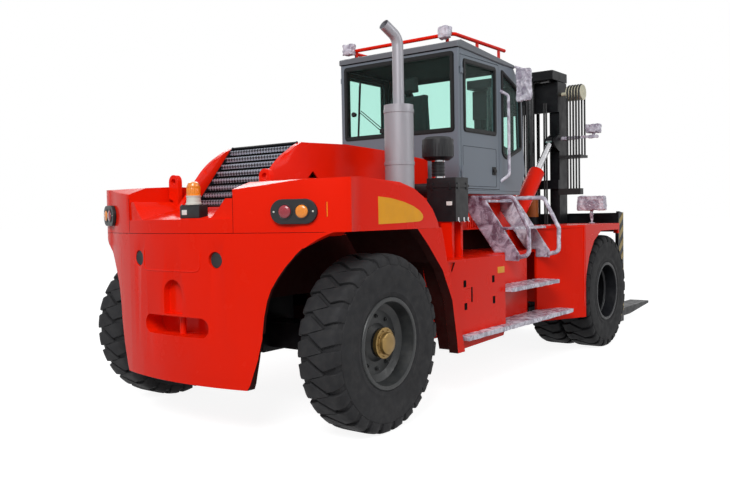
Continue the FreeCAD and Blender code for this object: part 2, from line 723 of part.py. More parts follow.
def build_ladders():
    ladders = []
    for side in (1, -1):
        inner_y = support_half_width + face_clearance
        foot_y = sill_half_width + face_clearance
        cheek = [(inner_y, 1700), (inner_y, 1860), (880, 1860), (foot_y + 160, 1260), (foot_y + 160, 1180),
                 (foot_y, 1180), (foot_y, ledge_z + face_clearance),
                 (foot_y - 120, ledge_z + face_clearance)]
        outline = [(side * y, z) for y, z in cheek]
        pieces = [cross_prism(outline, x, x + ladder_plate) for x in (ladder_x0, ladder_x1 - ladder_plate)]
        for x in (ladder_x0 + 6, ladder_x1 - 6):
            pieces.append(pipe_run([(x, side * 850, 1835), (x, side * (body_half_width - 170), 1835),
                                    (x, side * body_half_width, 1500), (x, side * body_half_width, 1240),
                                    (x, side * (foot_y + 140), 1215)], 22, 60))
        pieces.append(box(ladder_x0, ladder_x1, side * (foot_y - 70), side * (foot_y + 120), 1500, 1525))
        pieces.append(box(ladder_x0, ladder_x1, side * inner_y, side * 860, 1790, 1815))
        ladders.append(fuse(pieces))
    save("ladders", *ladders)


def build_exhaust():
    base = 1580.0
    muffler = rod(muffler_radius, (exhaust_x, exhaust_y, base), (exhaust_x, exhaust_y, 2640))
    run = pipe_run([(exhaust_x, exhaust_y, 2630), (exhaust_x, exhaust_y, 3230),
                    (exhaust_x - 150, exhaust_y + 40, 3330)], stack_radius, 130)
    bore = pipe_run([(exhaust_x, exhaust_y, 2660), (exhaust_x, exhaust_y, 3230),
                     (exhaust_x - 165, exhaust_y + 44, 3340)], stack_radius - 4, 130)
    foot = box(exhaust_x + 20, exhaust_x + 90, exhaust_y - 50, exhaust_y + 50, ledge_z + face_clearance,
               base + 10)
    bands = [rod(muffler_radius + 5, (exhaust_x, exhaust_y, z), (exhaust_x, exhaust_y, z + 30))
             for z in (1640, 2110, 2570)]
    save("exhaust", fuse([muffler, run, foot] + bands).cut(bore))


def build_air_cleaner():
    x, y = cleaner_x, cleaner_y
    case = box(x - 115, x + 115, y - 115, y + 200, 1600, 2010)
    rim = box(x - 122, x + 122, y - 122, y + 207, 1920, 1945)
    neck_y = y + cleaner_neck_in
    neck = rod(60, (x - 20, neck_y, 2005), (x - 20, neck_y, 2190))
    cap = fuse([rod(148, (x - 20, neck_y, 2210), (x - 20, neck_y, 2375)),
                Part.makeCone(105, 148, 30, Vector(x - 20, neck_y, 2180)),
                Part.makeCone(148, 110, 25, Vector(x - 20, neck_y, 2375))])
    duct = rod(70, (x, y + 100, 1900), (x, -hood_half_width - face_clearance, 1900))
    legs = [box(x + at, x + at + 40, y - 60, y + 60, ledge_z + face_clearance, 1610) for at in (-100, 60)]
    save("air_cleaner", fuse([case, rim, neck, cap, duct] + legs))


def build_cab():
    half = cab_half_width
    rear = cab_rear_x
    front_foot = front_sill_x - 106
    front_knee = front_sill_x + 34
    knee_z = 2154.0
    front_top = front_sill_x - 250
    side = [(rear, cab_floor_z), (front_foot, cab_floor_z), (front_knee, knee_z), (front_sill_x, sill_z),
            (brow_x, brow_z), (front_top, 3330), (front_top - 250, 3330), (rear, cab_roof_z - 60)]
    floor = side_prism([(rear, cab_floor_z - 40), (front_foot, cab_floor_z - 40), (front_foot, cab_floor_z),
                        (rear, cab_floor_z)], -half, half)
    roof = side_prism([(rear - 20, cab_roof_z - 60), (rear - 20, cab_roof_z), (rear + 60, cab_roof_z + 25),
                       (front_top - 320, 3400), (front_top + 20, 3370), (front_top + 20, 3330),
                       (front_top - 250, 3330), (rear, cab_roof_z - 60)],
                      -(half + 10), half + 10)
    save("cab_roof", roof)
    rear_wall = box(rear, rear + cab_wall, -half, half, cab_floor_z, cab_roof_z - 60).cut(roof)
    rear_wall = rear_wall.cut(box(rear - 10, rear + 60, -rear_window_half, rear_window_half,
                                  rear_window_low, rear_window_high))
    save("cab_rear_wall", rear_wall)
    for name, sign in (("left", 1), ("right", -1)):
        wall = side_prism(side, sign * half, sign * (half - cab_wall))
        wall = wall.cut(box(rear - 1, rear + cab_wall, sign * (half + 1), sign * (half - 60), 1900, 3500))
        wall = wall.cut(box(door_rear_x, door_front_x, sign * (half + 1), sign * (half - 60),
                            cab_floor_z + 12,
                            3318))
        wall = wall.cut(side_prism(quarter_window, sign * (half + 1), sign * (half - 60)))
        for low in hinge_heights:
            wall = fuse([wall, rod(11, (door_rear_x, sign * hinge_y, low + 60 + face_clearance),
                                   (door_rear_x, sign * hinge_y, low + 120)),
                         box(cab_rear_x + 5, door_rear_x, sign * half, sign * (hinge_y - 4),
                             low + 60 + face_clearance, low + 120)])
        foot_x = door_front_x + 38
        rail = pipe_run([(foot_x, sign * (half - 10), 3042), (foot_x + 84, sign * (half + 60), 2990),
                         (foot_x + 84, sign * (half + 60), 2100), (foot_x, sign * (half - 10), 2025)], 15,
                         40)
        wall = fuse([wall, rail])
        save("cab_side_" + name, wall)
        door = box(door_rear_x + door_gap, door_front_x - door_gap, sign * half, sign * (half - cab_wall),
                   cab_floor_z + 12 + door_gap, 3318 - door_gap)
        door = door.cut(box(door_window[0], door_window[1], sign * (half + 1), sign * (half - 60),
                            door_window[2], door_window[3]))
        for low in hinge_heights:
            door = fuse([door, rod(11, (door_rear_x, sign * hinge_y, low),
                                   (door_rear_x, sign * hinge_y, low + 60)),
                         box(door_rear_x, door_rear_x + 50, sign * half, sign * (hinge_y - 4), low,
                             low + 60)])
        save("cab_door_" + name, door)
        pane = box(door_window[0], door_window[1], sign * (half - 16), sign * (half - 24),
                   door_window[2], door_window[3])
        save("door_glass_" + name, pane)
    lower = side_prism([(front_foot - cab_wall, cab_floor_z), (front_foot, cab_floor_z),
                        (front_knee, knee_z),
                        (front_sill_x, sill_z), (front_sill_x - cab_wall, sill_z),
                        (front_knee - cab_wall, knee_z)], -(half - cab_wall), half - cab_wall)
    save("cab_floor", fuse([floor, lower]))


def build_glass():
    half = cab_half_width
    rear_pane = box(cab_rear_x + 15, cab_rear_x + 23, -rear_window_half, rear_window_half,
                    rear_window_low, rear_window_high)
    front = side_prism([(front_sill_x - 24, sill_z), (front_sill_x - 16, sill_z), (brow_x - 8, brow_z),
                        (front_sill_x - 258, 3329.7), (front_sill_x - 268, 3329.7),
                        (brow_x - 18, brow_z - 4)],
                       -(half - cab_wall), half - cab_wall)
    quarters = []
    for sign in (1, -1):
        quarters.append(side_prism(quarter_window, sign * (half - 16), sign * (half - 24)))
    save("cab_glass", rear_pane, front, *quarters)


def build_seat():
    x = cab_rear_x
    base = box(x + 350, x + 750, -230, 230, cab_floor_z, 2250)
    cushion = box(x + 280, x + 800, -260, 260, 2250, 2380)
    back = side_prism([(x + 230, 2300), (x + 350, 2380), (x + 290, 3000), (x + 180, 3000)], -250, 250)
    head = side_prism([(x + 180, 3000), (x + 280, 3000), (x + 260, 3200), (x + 170, 3200)], -140, 140)
    save("seat", fuse([base, cushion, back, head]))
    wheel_x = cab_rear_x + 1122
    column = fuse([rod(45, (wheel_x + 134, 0, cab_floor_z - 30), (wheel_x + 8, 0, 2560)).cut(
                       box(wheel_x + 28, wheel_x + 228, -60, 60, cab_floor_z - 60,
                           cab_floor_z + face_clearance)),
                   Part.makeTorus(190, 16, Vector(wheel_x, 0, 2600), Vector(-0.19, 0, 1)),
                   rod(30, (wheel_x + 10, 0, 2550), (wheel_x - 2, 0, 2612)),
                   box(wheel_x - 10, wheel_x + 10, -185, 185, 2590, 2606)])
    save("steering_column", column)
    low = cab_floor_z + face_clearance
    side_box = side_prism([(x + 330, low), (x + 850, low), (x + 880, 2340), (x + 330, 2260)], -330, -560)
    levers = [rod(9, (x + along, -445, 2250), (x + along - 8, -445, 2390)) for along in (690, 745, 800, 850)]
    dash = side_prism([(x + 1270, 2300), (x + 1250, 2400), (x + 1340, 2460), (x + 1420, 2440),
                       (x + 1400, 2300)],
                      -600, 600)
    legs = [box(x + 1290, x + 1340, s * 540, s * 590, low, 2310) for s in (1, -1)]
    save("console", fuse([side_box] + levers), fuse([dash] + legs))


def build_roof_rack():
    x = cab_rear_x
    reach = cab_half_width - 80
    rail = pipe_run([(x + 1190, reach, rack_z), (x + 50, reach, rack_z), (x + 50, -reach, rack_z),
                     (x + 1190, -reach, rack_z)], 20, 60)
    posts = []
    for along, y in ((80, 600), (80, 0), (80, -600), (550, reach), (550, -reach), (1050, reach),
                     (1050, -reach)):
        posts.append(box(x + along - 25, x + along + 25, y - 6, y + 6, cab_roof_z - 45, rack_z))
    lift = face_clearance
    roof_cut = side_prism([(x - 150, 3300), (x - 150, cab_roof_z + lift), (x - 20, cab_roof_z + lift),
                           (x + 60, cab_roof_z + 25 + lift), (x + 930, 3400 + lift), (x + 1250, 3370 + lift),
                           (x + 1300, 3300)], -cab_half_width - 30, cab_half_width + 30)
    save("roof_rack", fuse([rail] + posts).cut(roof_cut))
    lamps = []
    for y in (628, -628):
        lamps.append(box(x - 70, x + 30 - face_clearance, y - 60, y + 60, rack_z - 55, rack_z + 65))
    save("roof_lamps", *lamps)


def channel(x0, x1, outer, inner, z0, z1, side):
    """A mast column: a web at its outer side and two flanges that point inwards."""
    web = box(x0, x1, side * outer, side * (outer - web_thickness), z0, z1)
    rear = box(x0, x0 + flange_thickness, side * outer, side * inner, z0, z1)
    front = box(x1 - flange_thickness, x1, side * outer, side * inner, z0, z1)
    return fuse([web, rear, front])


def build_mast():
    half = mast_half_width
    rear = mast_rear_x
    front = rear + mast_depth
    inner_edge = half - flange_width
    columns = [channel(rear, front, half, inner_edge, mast_bottom, mast_top, s) for s in (1, -1)]
    beams = [box(rear - 40, rear, -half, half, mast_top - 400, mast_top),
             box(rear - 40, rear, -half, half, 1980, 2100),
             box(rear, rear + flange_thickness, -inner_edge, inner_edge, mast_bottom, mast_bottom + 110)]
    for side in (1, -1):
        beams.append(box(rear - lift_behind - lift_radius, rear + 10, side * (lift_y - 90),
                         side * (lift_y + 90),
                         mast_bottom, lift_foot_z))
    ears = []
    for side in (1, -1):
        ears.append(side_prism([(rear, 380), (rear, 760), (mast_pivot_x - 40, 610), (mast_pivot_x - 80, 520),
                                (mast_pivot_x - 40, 440)], side * 520, side * half))
        ears.append(side_prism([(rear, tilt_eye_z - 120), (rear, tilt_eye_z + 120),
                                (tilt_eye_x - 10, tilt_eye_z + 55),
                                (tilt_eye_x - 55, tilt_eye_z), (tilt_eye_x - 10, tilt_eye_z - 55)],
                               side * (tilt_y + 45), side * (tilt_y + 70)))
        ears.append(side_prism([(rear, tilt_eye_z - 120), (rear, tilt_eye_z + 120),
                                (tilt_eye_x - 10, tilt_eye_z + 55),
                                (tilt_eye_x - 55, tilt_eye_z), (tilt_eye_x - 10, tilt_eye_z - 55)],
                               side * (tilt_y - 70), side * (tilt_y - 45)))
    mast = fuse(columns + beams + ears)
    for side in (1, -1):
        bore = mast_pin_radius + running_clearance
        mast = mast.cut(rod(bore, (mast_pivot_x, side * 500, mast_pivot_z),
                            (mast_pivot_x, side * 700, mast_pivot_z)))
    save("outer_mast", mast)
    inner_half = half - web_thickness - mast_gap
    inner_cols = [channel(rear + flange_thickness + mast_gap, front - flange_thickness - mast_gap,
                          inner_half, inner_half - 120, mast_bottom + 60, mast_top + head_gap, s)
                  for s in (1, -1)]
    head_z = mast_top + head_gap
    ties = [box(rear + 60, front - 60, -inner_half + 5, inner_half - 5, mast_top - 260, mast_top - 60),
            box(rear + 60, rear + 100, -inner_half + 5, inner_half - 5, mast_bottom + 120,
                mast_bottom + 280),
            box(rear - lift_behind - lift_rod_radius, front + 20, -half, half, head_z, head_z + head_height)]
    save("inner_mast", fuse(inner_cols + ties))


def build_carriage():
    x0 = fork_face_x - fork_thickness - 120
    x1 = fork_face_x - fork_thickness
    wide = carriage_half_width
    bars = [box(x0, x1, -wide, wide, 320, 560), box(x0, x1, -wide, wide, 1400, carriage_top)]
    posts = [box(x0, x1 - 20, s * 250, s * 430, 320, carriage_top) for s in (1, -1)]
    ends = [side_prism([(x0 - 20, 200), (x1 + 60, 200), (x1 + 60, carriage_top),
                        (x0 + 20, carriage_top + 20),
                        (x0 - 20, 1500)], s * wide, s * (wide - 40)) for s in (1, -1)]
    rollers = []
    roller_x = mast_rear_x + mast_depth / 2
    roller_radius = mast_depth / 2 - 2 * flange_thickness - mast_gap - face_clearance
    for s in (1, -1):
        for z in (700, 1380):
            rollers.append(box(roller_x - 10, x0 + 5, s * 445, s * 475, z - 200, z + 60))
            rollers.append(rod(roller_radius, (roller_x, s * 445, z), (roller_x, s * 560, z)))
    lug_x = mast_rear_x + mast_depth + chain_sheave_radius + 20
    lugs = [box(lug_x, x0 + 5, s * 170, s * 230, 1480, 1560) for s in (1, -1)]
    save("carriage", fuse(bars + posts + ends + rollers + lugs))


def build_forks():
    top = fork_bottom + fork_thickness
    shank_x = fork_face_x - fork_thickness
    for name, side in (("left", 1), ("right", -1)):
        y0 = side * fork_y - fork_width / 2
        y1 = y0 + fork_width
        profile = [(shank_x + 0.3, fork_bottom + 60), (shank_x + 60, fork_bottom),
                   (fork_tip_x - 900, fork_bottom),
                   (fork_tip_x, top - 40), (fork_tip_x, top), (fork_face_x + 40, top),
                   (fork_face_x, top + 40),
                   (fork_face_x, carriage_top - 40), (shank_x + 0.3, carriage_top - 40)]
        save("fork_" + name, side_prism(profile, y0, y1))


def build_cylinders():
    base = Vector(tilt_base_x, 0, tilt_base_z)
    eye = Vector(tilt_eye_x, 0, tilt_eye_z)
    way = (eye - base).normalize()
    length = (eye - base).Length
    mouth = base + way * (length * 0.62)
    barrels = []
    rods = []
    for side in (1, -1):
        y = side * tilt_y
        lift = Vector(0, y, 0)
        barrel = rod(tilt_barrel_radius, tuple(base + way * 95 + lift), tuple(mouth + lift))
        boss = rod(70, (base.x, y - 24, base.z), (base.x, y + 24, base.z))
        link = rod(40, tuple(base + way * 40 + lift), tuple(base + way * 100 + lift))
        barrel = fuse([barrel, boss, link])
        bore_start = base + way * 200 + lift
        barrel = barrel.cut(rod(tilt_rod_radius + running_clearance, tuple(bore_start),
                                tuple(mouth + way * 5 + lift)))
        barrel = barrel.cut(rod(tilt_pin_radius + running_clearance, (base.x, y - 60, base.z),
                                (base.x, y + 60, base.z)))
        barrels.append(barrel)
        stem = rod(tilt_rod_radius, tuple(base + way * 500 + lift), tuple(eye - way * 40 + lift))
        head = rod(62, (eye.x, y - 39, eye.z), (eye.x, y + 39, eye.z))
        rod_part = fuse([stem, head]).cut(rod(tilt_pin_radius + 3, (eye.x, y - 60, eye.z),
                                              (eye.x, y + 60, eye.z)))
        rods.append(rod_part)
    save("tilt_barrels", *barrels)
    save("tilt_rods", *rods)


def build_lift():
    x = mast_rear_x - lift_behind
    head_z = mast_top + head_gap
    barrels = []
    stems = []
    for side in (1, -1):
        y = side * lift_y
        barrel = rod(lift_radius, (x, y, lift_foot_z), (x, y, lift_mouth_z))
        bore = rod(lift_rod_radius + running_clearance, (x, y, lift_foot_z + 60), (x, y, lift_mouth_z + 5))
        barrels.append(barrel.cut(bore))
        stems.append(rod(lift_rod_radius, (x, y, lift_foot_z + 100), (x, y, head_z)))
    save("lift_barrels", *barrels)
    save("lift_rods", *stems)


def build_small_parts():
    deck_z = notch_z
    box_x = -tail_overhang + 60
    beacon = fuse([box(box_x, box_x + 90, -260, -40, deck_z + 5, deck_z + 110),
                   rod(62, (box_x + 45, -150, deck_z + 110), (box_x + 45, -150, deck_z + 290))])
    save("beacon", above_deck(beacon))
    mirrors = []
    for side in (1, -1):
        y = side * (cab_half_width + 130)
        x = front_sill_x - 250
        arm = rod(12, (x, side * (cab_half_width + 15.1), 3350), (x, y, 3300))
        glass = box(x - 10, x + 30, y - 90, y + 90, 2950, 3320)
        mirrors.append(fuse([glass, arm]))
    save("mirrors", *mirrors)
    lamps = []
    for side in (1, -1):
        lamp_y = side * (fender_half_width - 305)
        lamp_x = mast_rear_x - 155
        lamps.append(fuse([box(lamp_x - 55, lamp_x + 55, lamp_y - 175, lamp_y + 175, fender_top + 170,
                               fender_top + 350),
                           rod(22, (lamp_x, lamp_y, fender_top), (lamp_x, lamp_y, fender_top + 180)),
                           rod(48, (lamp_x, lamp_y, fender_top), (lamp_x, lamp_y, fender_top + 14))]))
    save("headlamps", *lamps)
    build_tail_lamps()


def build_tail_lamps():
    start = Vector(160 - tail_overhang, -body_half_width * 0.6614, tail_lamp_z)
    end = Vector(290 - tail_overhang, -body_half_width * 0.895, tail_lamp_z)
    along = end - start
    radius = 89
    pod = fuse([box(radius, along.Length - radius, -25, 30, -radius, radius),
                rod(radius, (radius, -25, 0), (radius, 30, 0)),
                rod(radius, (along.Length - radius, -25, 0), (along.Length - radius, 30, 0))])
    pod = pod.mirror(Vector(0, 0, 0), AXIS_Y)
    pod.rotate(Vector(0, 0, 0), Vector(0, 0, 1), math.degrees(math.atan2(along.y, along.x)))
    pod.translate(start)
    pod = pod.cut(mirrored(rear_block(-face_clearance, 730, seam_z, 2000)))
    save("tail_lamps", *both_sides(pod))


def build_mast_fittings():
    x = mast_rear_x + 100
    z = hose_sheave_z
    outer = mast_half_width
    sheaves = [rod(25, (x, -outer, z), (x, -(outer + 300), z))]
    for index in range(hose_count):
        y = -(outer + 115 + hose_pitch * index)
        sheaves.append(rod(hose_sheave_radius, (x, y - 14, z), (x, y + 14, z)))
        sheaves.append(rod(hose_sheave_radius + 14, (x, y + 14, z), (x, y + 25, z)))
    sheaves.append(rod(hose_sheave_radius + 14, (x, y - 25, z), (x, y - 14, z)))
    save("hose_sheaves", fuse(sheaves))
    bend = hose_sheave_radius + hose_radius + 2
    hoses = []
    for index in range(hose_count):
        y = -(outer + 115 + hose_pitch * index)
        hoses.append(pipe_run([(x - bend, y, 1940), (x - bend, y, z + bend), (x + bend, y, z + bend),
                               (x + bend, y, 2400)], hose_radius, bend - 0.1))
    far = outer + 115 + hose_pitch * (hose_count - 1) + 30
    near = outer + face_clearance
    hoses.append(box(x - bend - 22, x + bend + 22, -near, -far, 2385, 2420))
    hoses.append(box(x - bend - 40, x - bend + 60, -near, -far, 1900, 1980))
    save("mast_hoses", fuse(hoses))
    lamps = []
    for side in (1, -1):
        arm = box(mast_rear_x + 30, mast_rear_x + 70, side * near, side * 1150, 2630, 2665)
        stem = box(mast_rear_x + 35, mast_rear_x + 65, side * 1075, side * 1105, 2660, 2700)
        lamp = box(mast_rear_x - 10, mast_rear_x + 90, side * 1000, side * 1180, 2692, 2802)
        lamps.append(fuse([arm, stem, lamp]))
    save("mast_lamps", *lamps)
    chains = []
    wheel_x = mast_rear_x + mast_depth
    wheel_z = mast_top - 70
    head_z = mast_top + head_gap - face_clearance
    for side in (1, -1):
        sheave = rod(chain_sheave_radius, (wheel_x, side * 165, wheel_z), (wheel_x, side * 235, wheel_z))
        pin = rod(18, (wheel_x, side * 138, wheel_z), (wheel_x, side * 262, wheel_z))
        cheeks = [box(wheel_x - 30, wheel_x + 20, side * y, side * (y + 12), wheel_z - 40, head_z)
                  for y in (142, 246)]
        reach = wheel_x + chain_sheave_radius
        strand = box(reach - 12, reach + 12, side * 180, side * 220, carriage_top - 80, wheel_z)
        chains.append(fuse([sheave, pin, strand] + cheeks))
    save("lift_chains", *chains)


def main():
    os.makedirs("parts", exist_ok=True)
    build_rear_wheels()
    build_knuckles()
    build_steer_axle()
    build_front_wheels()
    build_drive_axle()
    build_counterweight()
    build_rear_fenders()
    build_rear_deck()
    build_lifting_eyes()
    build_hood()
    build_frame()
    build_side_bodies()
    build_front_fenders()
    build_steps()
    build_ladders()
    build_exhaust()
    build_air_cleaner()
    build_cab()
    build_glass()
    build_seat()
    build_roof_rack()
    build_mast()
    build_carriage()
    build_forks()
    build_cylinders()
    build_lift()
    build_mast_fittings()
    build_small_parts()


main()
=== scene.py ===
"""Looks of the container forklift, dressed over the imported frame.

Places are given as at(x, y, z): millimetres from the ground under the rear steering axle,
+X to the forks and +Y to the driver's left, as the part's source has them.
"""
import bpy
import bmesh
import json
import math
import random
from mathutils import Matrix, Vector, noise as space_noise
from mathutils.bvhtree import BVHTree

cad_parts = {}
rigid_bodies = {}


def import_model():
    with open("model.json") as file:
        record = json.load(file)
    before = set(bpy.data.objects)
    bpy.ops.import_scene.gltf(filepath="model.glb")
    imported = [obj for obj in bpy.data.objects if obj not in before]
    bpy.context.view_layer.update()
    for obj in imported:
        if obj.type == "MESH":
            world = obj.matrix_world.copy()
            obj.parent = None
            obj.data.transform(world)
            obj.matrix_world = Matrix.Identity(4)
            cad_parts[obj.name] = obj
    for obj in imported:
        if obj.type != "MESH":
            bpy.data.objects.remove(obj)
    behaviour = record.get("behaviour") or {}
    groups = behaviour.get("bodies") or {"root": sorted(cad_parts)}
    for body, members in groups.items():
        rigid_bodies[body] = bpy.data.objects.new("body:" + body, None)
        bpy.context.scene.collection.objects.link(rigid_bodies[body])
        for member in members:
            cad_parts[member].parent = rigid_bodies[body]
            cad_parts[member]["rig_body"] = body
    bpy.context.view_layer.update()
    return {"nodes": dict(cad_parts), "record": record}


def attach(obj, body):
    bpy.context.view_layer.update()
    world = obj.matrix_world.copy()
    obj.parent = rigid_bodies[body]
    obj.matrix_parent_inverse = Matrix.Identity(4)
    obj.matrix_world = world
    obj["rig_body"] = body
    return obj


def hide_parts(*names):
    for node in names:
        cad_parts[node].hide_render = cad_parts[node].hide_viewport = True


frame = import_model()
random.seed(7)

MIDDLE_X = 3534.0
AXLE_Z = 690.0
FRONT_AXLE_X = 4600.0
SIDES = (("left", 1), ("right", -1))


def at(x, y, z):
    return Vector(((x - MIDDLE_X) / 1000, y / 1000, z / 1000))


def rgb(red, green, blue):
    """A colour written as on a screen, in the linear values a shader takes."""
    linear = []
    for value in (red, green, blue):
        value /= 255
        linear.append(value / 12.92 if value <= 0.04045 else ((value + 0.055) / 1.055) ** 2.4)
    return (*linear, 1.0)


# Camera, floor and light

camera_data = bpy.data.cameras.new("camera")
camera_data.sensor_width = 36.0
camera_data.lens = 38.04
camera_data.clip_end = 400.0
camera = bpy.data.objects.new("camera", camera_data)
yaw, pitch, roll = (math.radians(a) for a in (37.33, -2.03, -1.01))
view_way = Vector((math.cos(pitch) * math.cos(yaw), math.cos(pitch) * math.sin(yaw), math.sin(pitch)))
level_right = Vector((math.sin(yaw), -math.cos(yaw), 0))
level_up = level_right.cross(view_way)
camera_right = math.cos(roll) * level_right + math.sin(roll) * level_up
camera_up = -math.sin(roll) * level_right + math.cos(roll) * level_up
turn = Matrix((camera_right, camera_up, -view_way)).transposed()
camera.matrix_world = Matrix.Translation(at(-4768, -4810, 1670)) @ turn.to_4x4()
bpy.context.scene.collection.objects.link(camera)
bpy.context.scene.camera = camera
bpy.context.scene.view_settings.view_transform = "Standard"


def area_light(name, place, target, size, power, tint=(1, 1, 1)):
    light = bpy.data.lights.new(name, "AREA")
    light.shape = "DISK"
    light.size = size
    light.energy = power
    light.color = tint
    holder = bpy.data.objects.new(name, light)
    holder.location = place
    holder.rotation_euler = (Vector(target) - Vector(place)).to_track_quat("-Z", "Y").to_euler()
    bpy.context.scene.collection.objects.link(holder)


area_light("key_light", (-12, -5, 9), (-1, 0, 1.2), 6, 1250)
area_light("fill_light", (3, -14, 8), (0.5, 0, 1.2), 7, 520)
area_light("back_light", (7, 12, 9), (0, 0, 1.5), 7, 450)


def new_tree(name, kind):
    block = kind.new(name)
    block.use_nodes = True
    block.node_tree.nodes.clear()
    return block, block.node_tree


def link(tree, source, target):
    tree.links.new(source, target)


def seen_directly(tree):
    """1 for camera, glossy and transmission rays, and 0 for the rest."""
    path = tree.nodes.new("ShaderNodeLightPath")
    first = tree.nodes.new("ShaderNodeMath")
    first.operation = "MAXIMUM"
    link(tree, path.outputs["Is Camera Ray"], first.inputs[0])
    link(tree, path.outputs["Is Glossy Ray"], first.inputs[1])
    second = tree.nodes.new("ShaderNodeMath")
    second.operation = "MAXIMUM"
    link(tree, first.outputs[0], second.inputs[0])
    link(tree, path.outputs["Is Transmission Ray"], second.inputs[1])
    return second.outputs[0]


def build_world():
    world, tree = new_tree("studio", bpy.data.worlds)
    seen = tree.nodes.new("ShaderNodeBackground")
    seen.inputs["Color"].default_value = (1, 1, 1, 1)
    seen.inputs["Strength"].default_value = 1.0
    lit = tree.nodes.new("ShaderNodeBackground")
    lit.inputs["Color"].default_value = (0.95, 0.97, 1, 1)
    lit.inputs["Strength"].default_value = 0.36
    mix = tree.nodes.new("ShaderNodeMixShader")
    out = tree.nodes.new("ShaderNodeOutputWorld")
    link(tree, seen_directly(tree), mix.inputs[0])
    link(tree, lit.outputs[0], mix.inputs[1])
    link(tree, seen.outputs[0], mix.inputs[2])
    link(tree, mix.outputs[0], out.inputs["Surface"])
    bpy.context.scene.world = world


def build_floor():
    size = 150.0
    mesh = bpy.data.meshes.new("floor")
    mesh.from_pydata([(-size, -size, 0), (size, -size, 0), (size, size, 0), (-size, size, 0)], [], [(0, 1, 2, 3)])
    floor = bpy.data.objects.new("floor", mesh)
    bpy.context.scene.collection.objects.link(floor)
    surface, tree = new_tree("floor_white", bpy.data.materials)
    diffuse = tree.nodes.new("ShaderNodeBsdfDiffuse")
    diffuse.inputs["Color"].default_value = (0.32, 0.32, 0.32, 1)
    glow = tree.nodes.new("ShaderNodeEmission")
    glow.inputs["Color"].default_value = (1, 1, 1, 1)
    strength = tree.nodes.new("ShaderNodeMath")
    strength.operation = "MULTIPLY"
    strength.inputs[1].default_value = 0.9
    link(tree, seen_directly(tree), strength.inputs[0])
    link(tree, strength.outputs[0], glow.inputs["Strength"])
    add = tree.nodes.new("ShaderNodeAddShader")
    out = tree.nodes.new("ShaderNodeOutputMaterial")
    link(tree, diffuse.outputs[0], add.inputs[0])
    link(tree, glow.outputs[0], add.inputs[1])
    link(tree, add.outputs[0], out.inputs["Surface"])
    mesh.materials.append(surface)


build_world()
build_floor()


# Materials

def noise(tree, scale, detail, source):
    node = tree.nodes.new("ShaderNodeTexNoise")
    node.inputs["Scale"].default_value = scale
    node.inputs["Detail"].default_value = detail
    link(tree, source, node.inputs["Vector"])
    return node.outputs["Fac"]


def spread(tree, source, low, high, clip_low=0.3, clip_high=0.7):
    node = tree.nodes.new("ShaderNodeMapRange")
    node.inputs["From Min"].default_value = clip_low
    node.inputs["From Max"].default_value = clip_high
    node.inputs["To Min"].default_value = low
    node.inputs["To Max"].default_value = high
    link(tree, source, node.inputs["Value"])
    return node.outputs["Result"]


def mixed(tree, factor, first, second):
    node = tree.nodes.new("ShaderNodeMix")
    node.data_type = "RGBA"
    link(tree, factor, node.inputs["Factor"])
    for socket, colour in ((node.inputs["A"], first), (node.inputs["B"], second)):
        if isinstance(colour, tuple):
            socket.default_value = colour
        else:
            link(tree, colour, socket)
    return node.outputs["Result"]


def shade(colour, factor):
    return (colour[0] * factor, colour[1] * factor, colour[2] * factor, 1.0)


def finish_of(name, colour, roughness, metallic=0.0, coat=0.0, grain=90.0, bump=0.05, depth=0.002,
              patch=3.0, darker=0.88, rough_span=0.08, dust=None, dust_amount=0.0, stretch=(1, 1, 1),
              specular=0.5):
    """A surface whose colour drifts in patches, with grain in its gloss and relief, and settled dust."""
    surface, tree = new_tree(name, bpy.data.materials)
    place = tree.nodes.new("ShaderNodeTexCoord").outputs["Object"]
    if stretch != (1, 1, 1):
        scaled = tree.nodes.new("ShaderNodeMapping")
        scaled.inputs["Scale"].default_value = stretch
        link(tree, place, scaled.inputs["Vector"])
        place = scaled.outputs[0]
    shader = tree.nodes.new("ShaderNodeBsdfPrincipled")
    patches = spread(tree, noise(tree, patch, 4, place), 0, 1)
    base = mixed(tree, patches, shade(colour, darker), colour)
    if dust:
        fine = spread(tree, noise(tree, patch * 6, 6, place), 0, dust_amount, 0.45, 0.75)
        base = mixed(tree, fine, base, dust)
    link(tree, base, shader.inputs["Base Color"])
    gloss = spread(tree, noise(tree, patch * 4, 5, place), roughness - rough_span, roughness + rough_span)
    link(tree, gloss, shader.inputs["Roughness"])
    shader.inputs["Metallic"].default_value = metallic
    shader.inputs["Specular IOR Level"].default_value = specular
    shader.inputs["Coat Weight"].default_value = coat
    shader.inputs["Coat Roughness"].default_value = 0.06
    relief = tree.nodes.new("ShaderNodeBump")
    relief.inputs["Strength"].default_value = bump
    relief.inputs["Distance"].default_value = depth
    link(tree, noise(tree, grain, 3, place), relief.inputs["Height"])
    link(tree, relief.outputs[0], shader.inputs["Normal"])
    out = tree.nodes.new("ShaderNodeOutputMaterial")
    link(tree, shader.outputs[0], out.inputs["Surface"])
    return surface


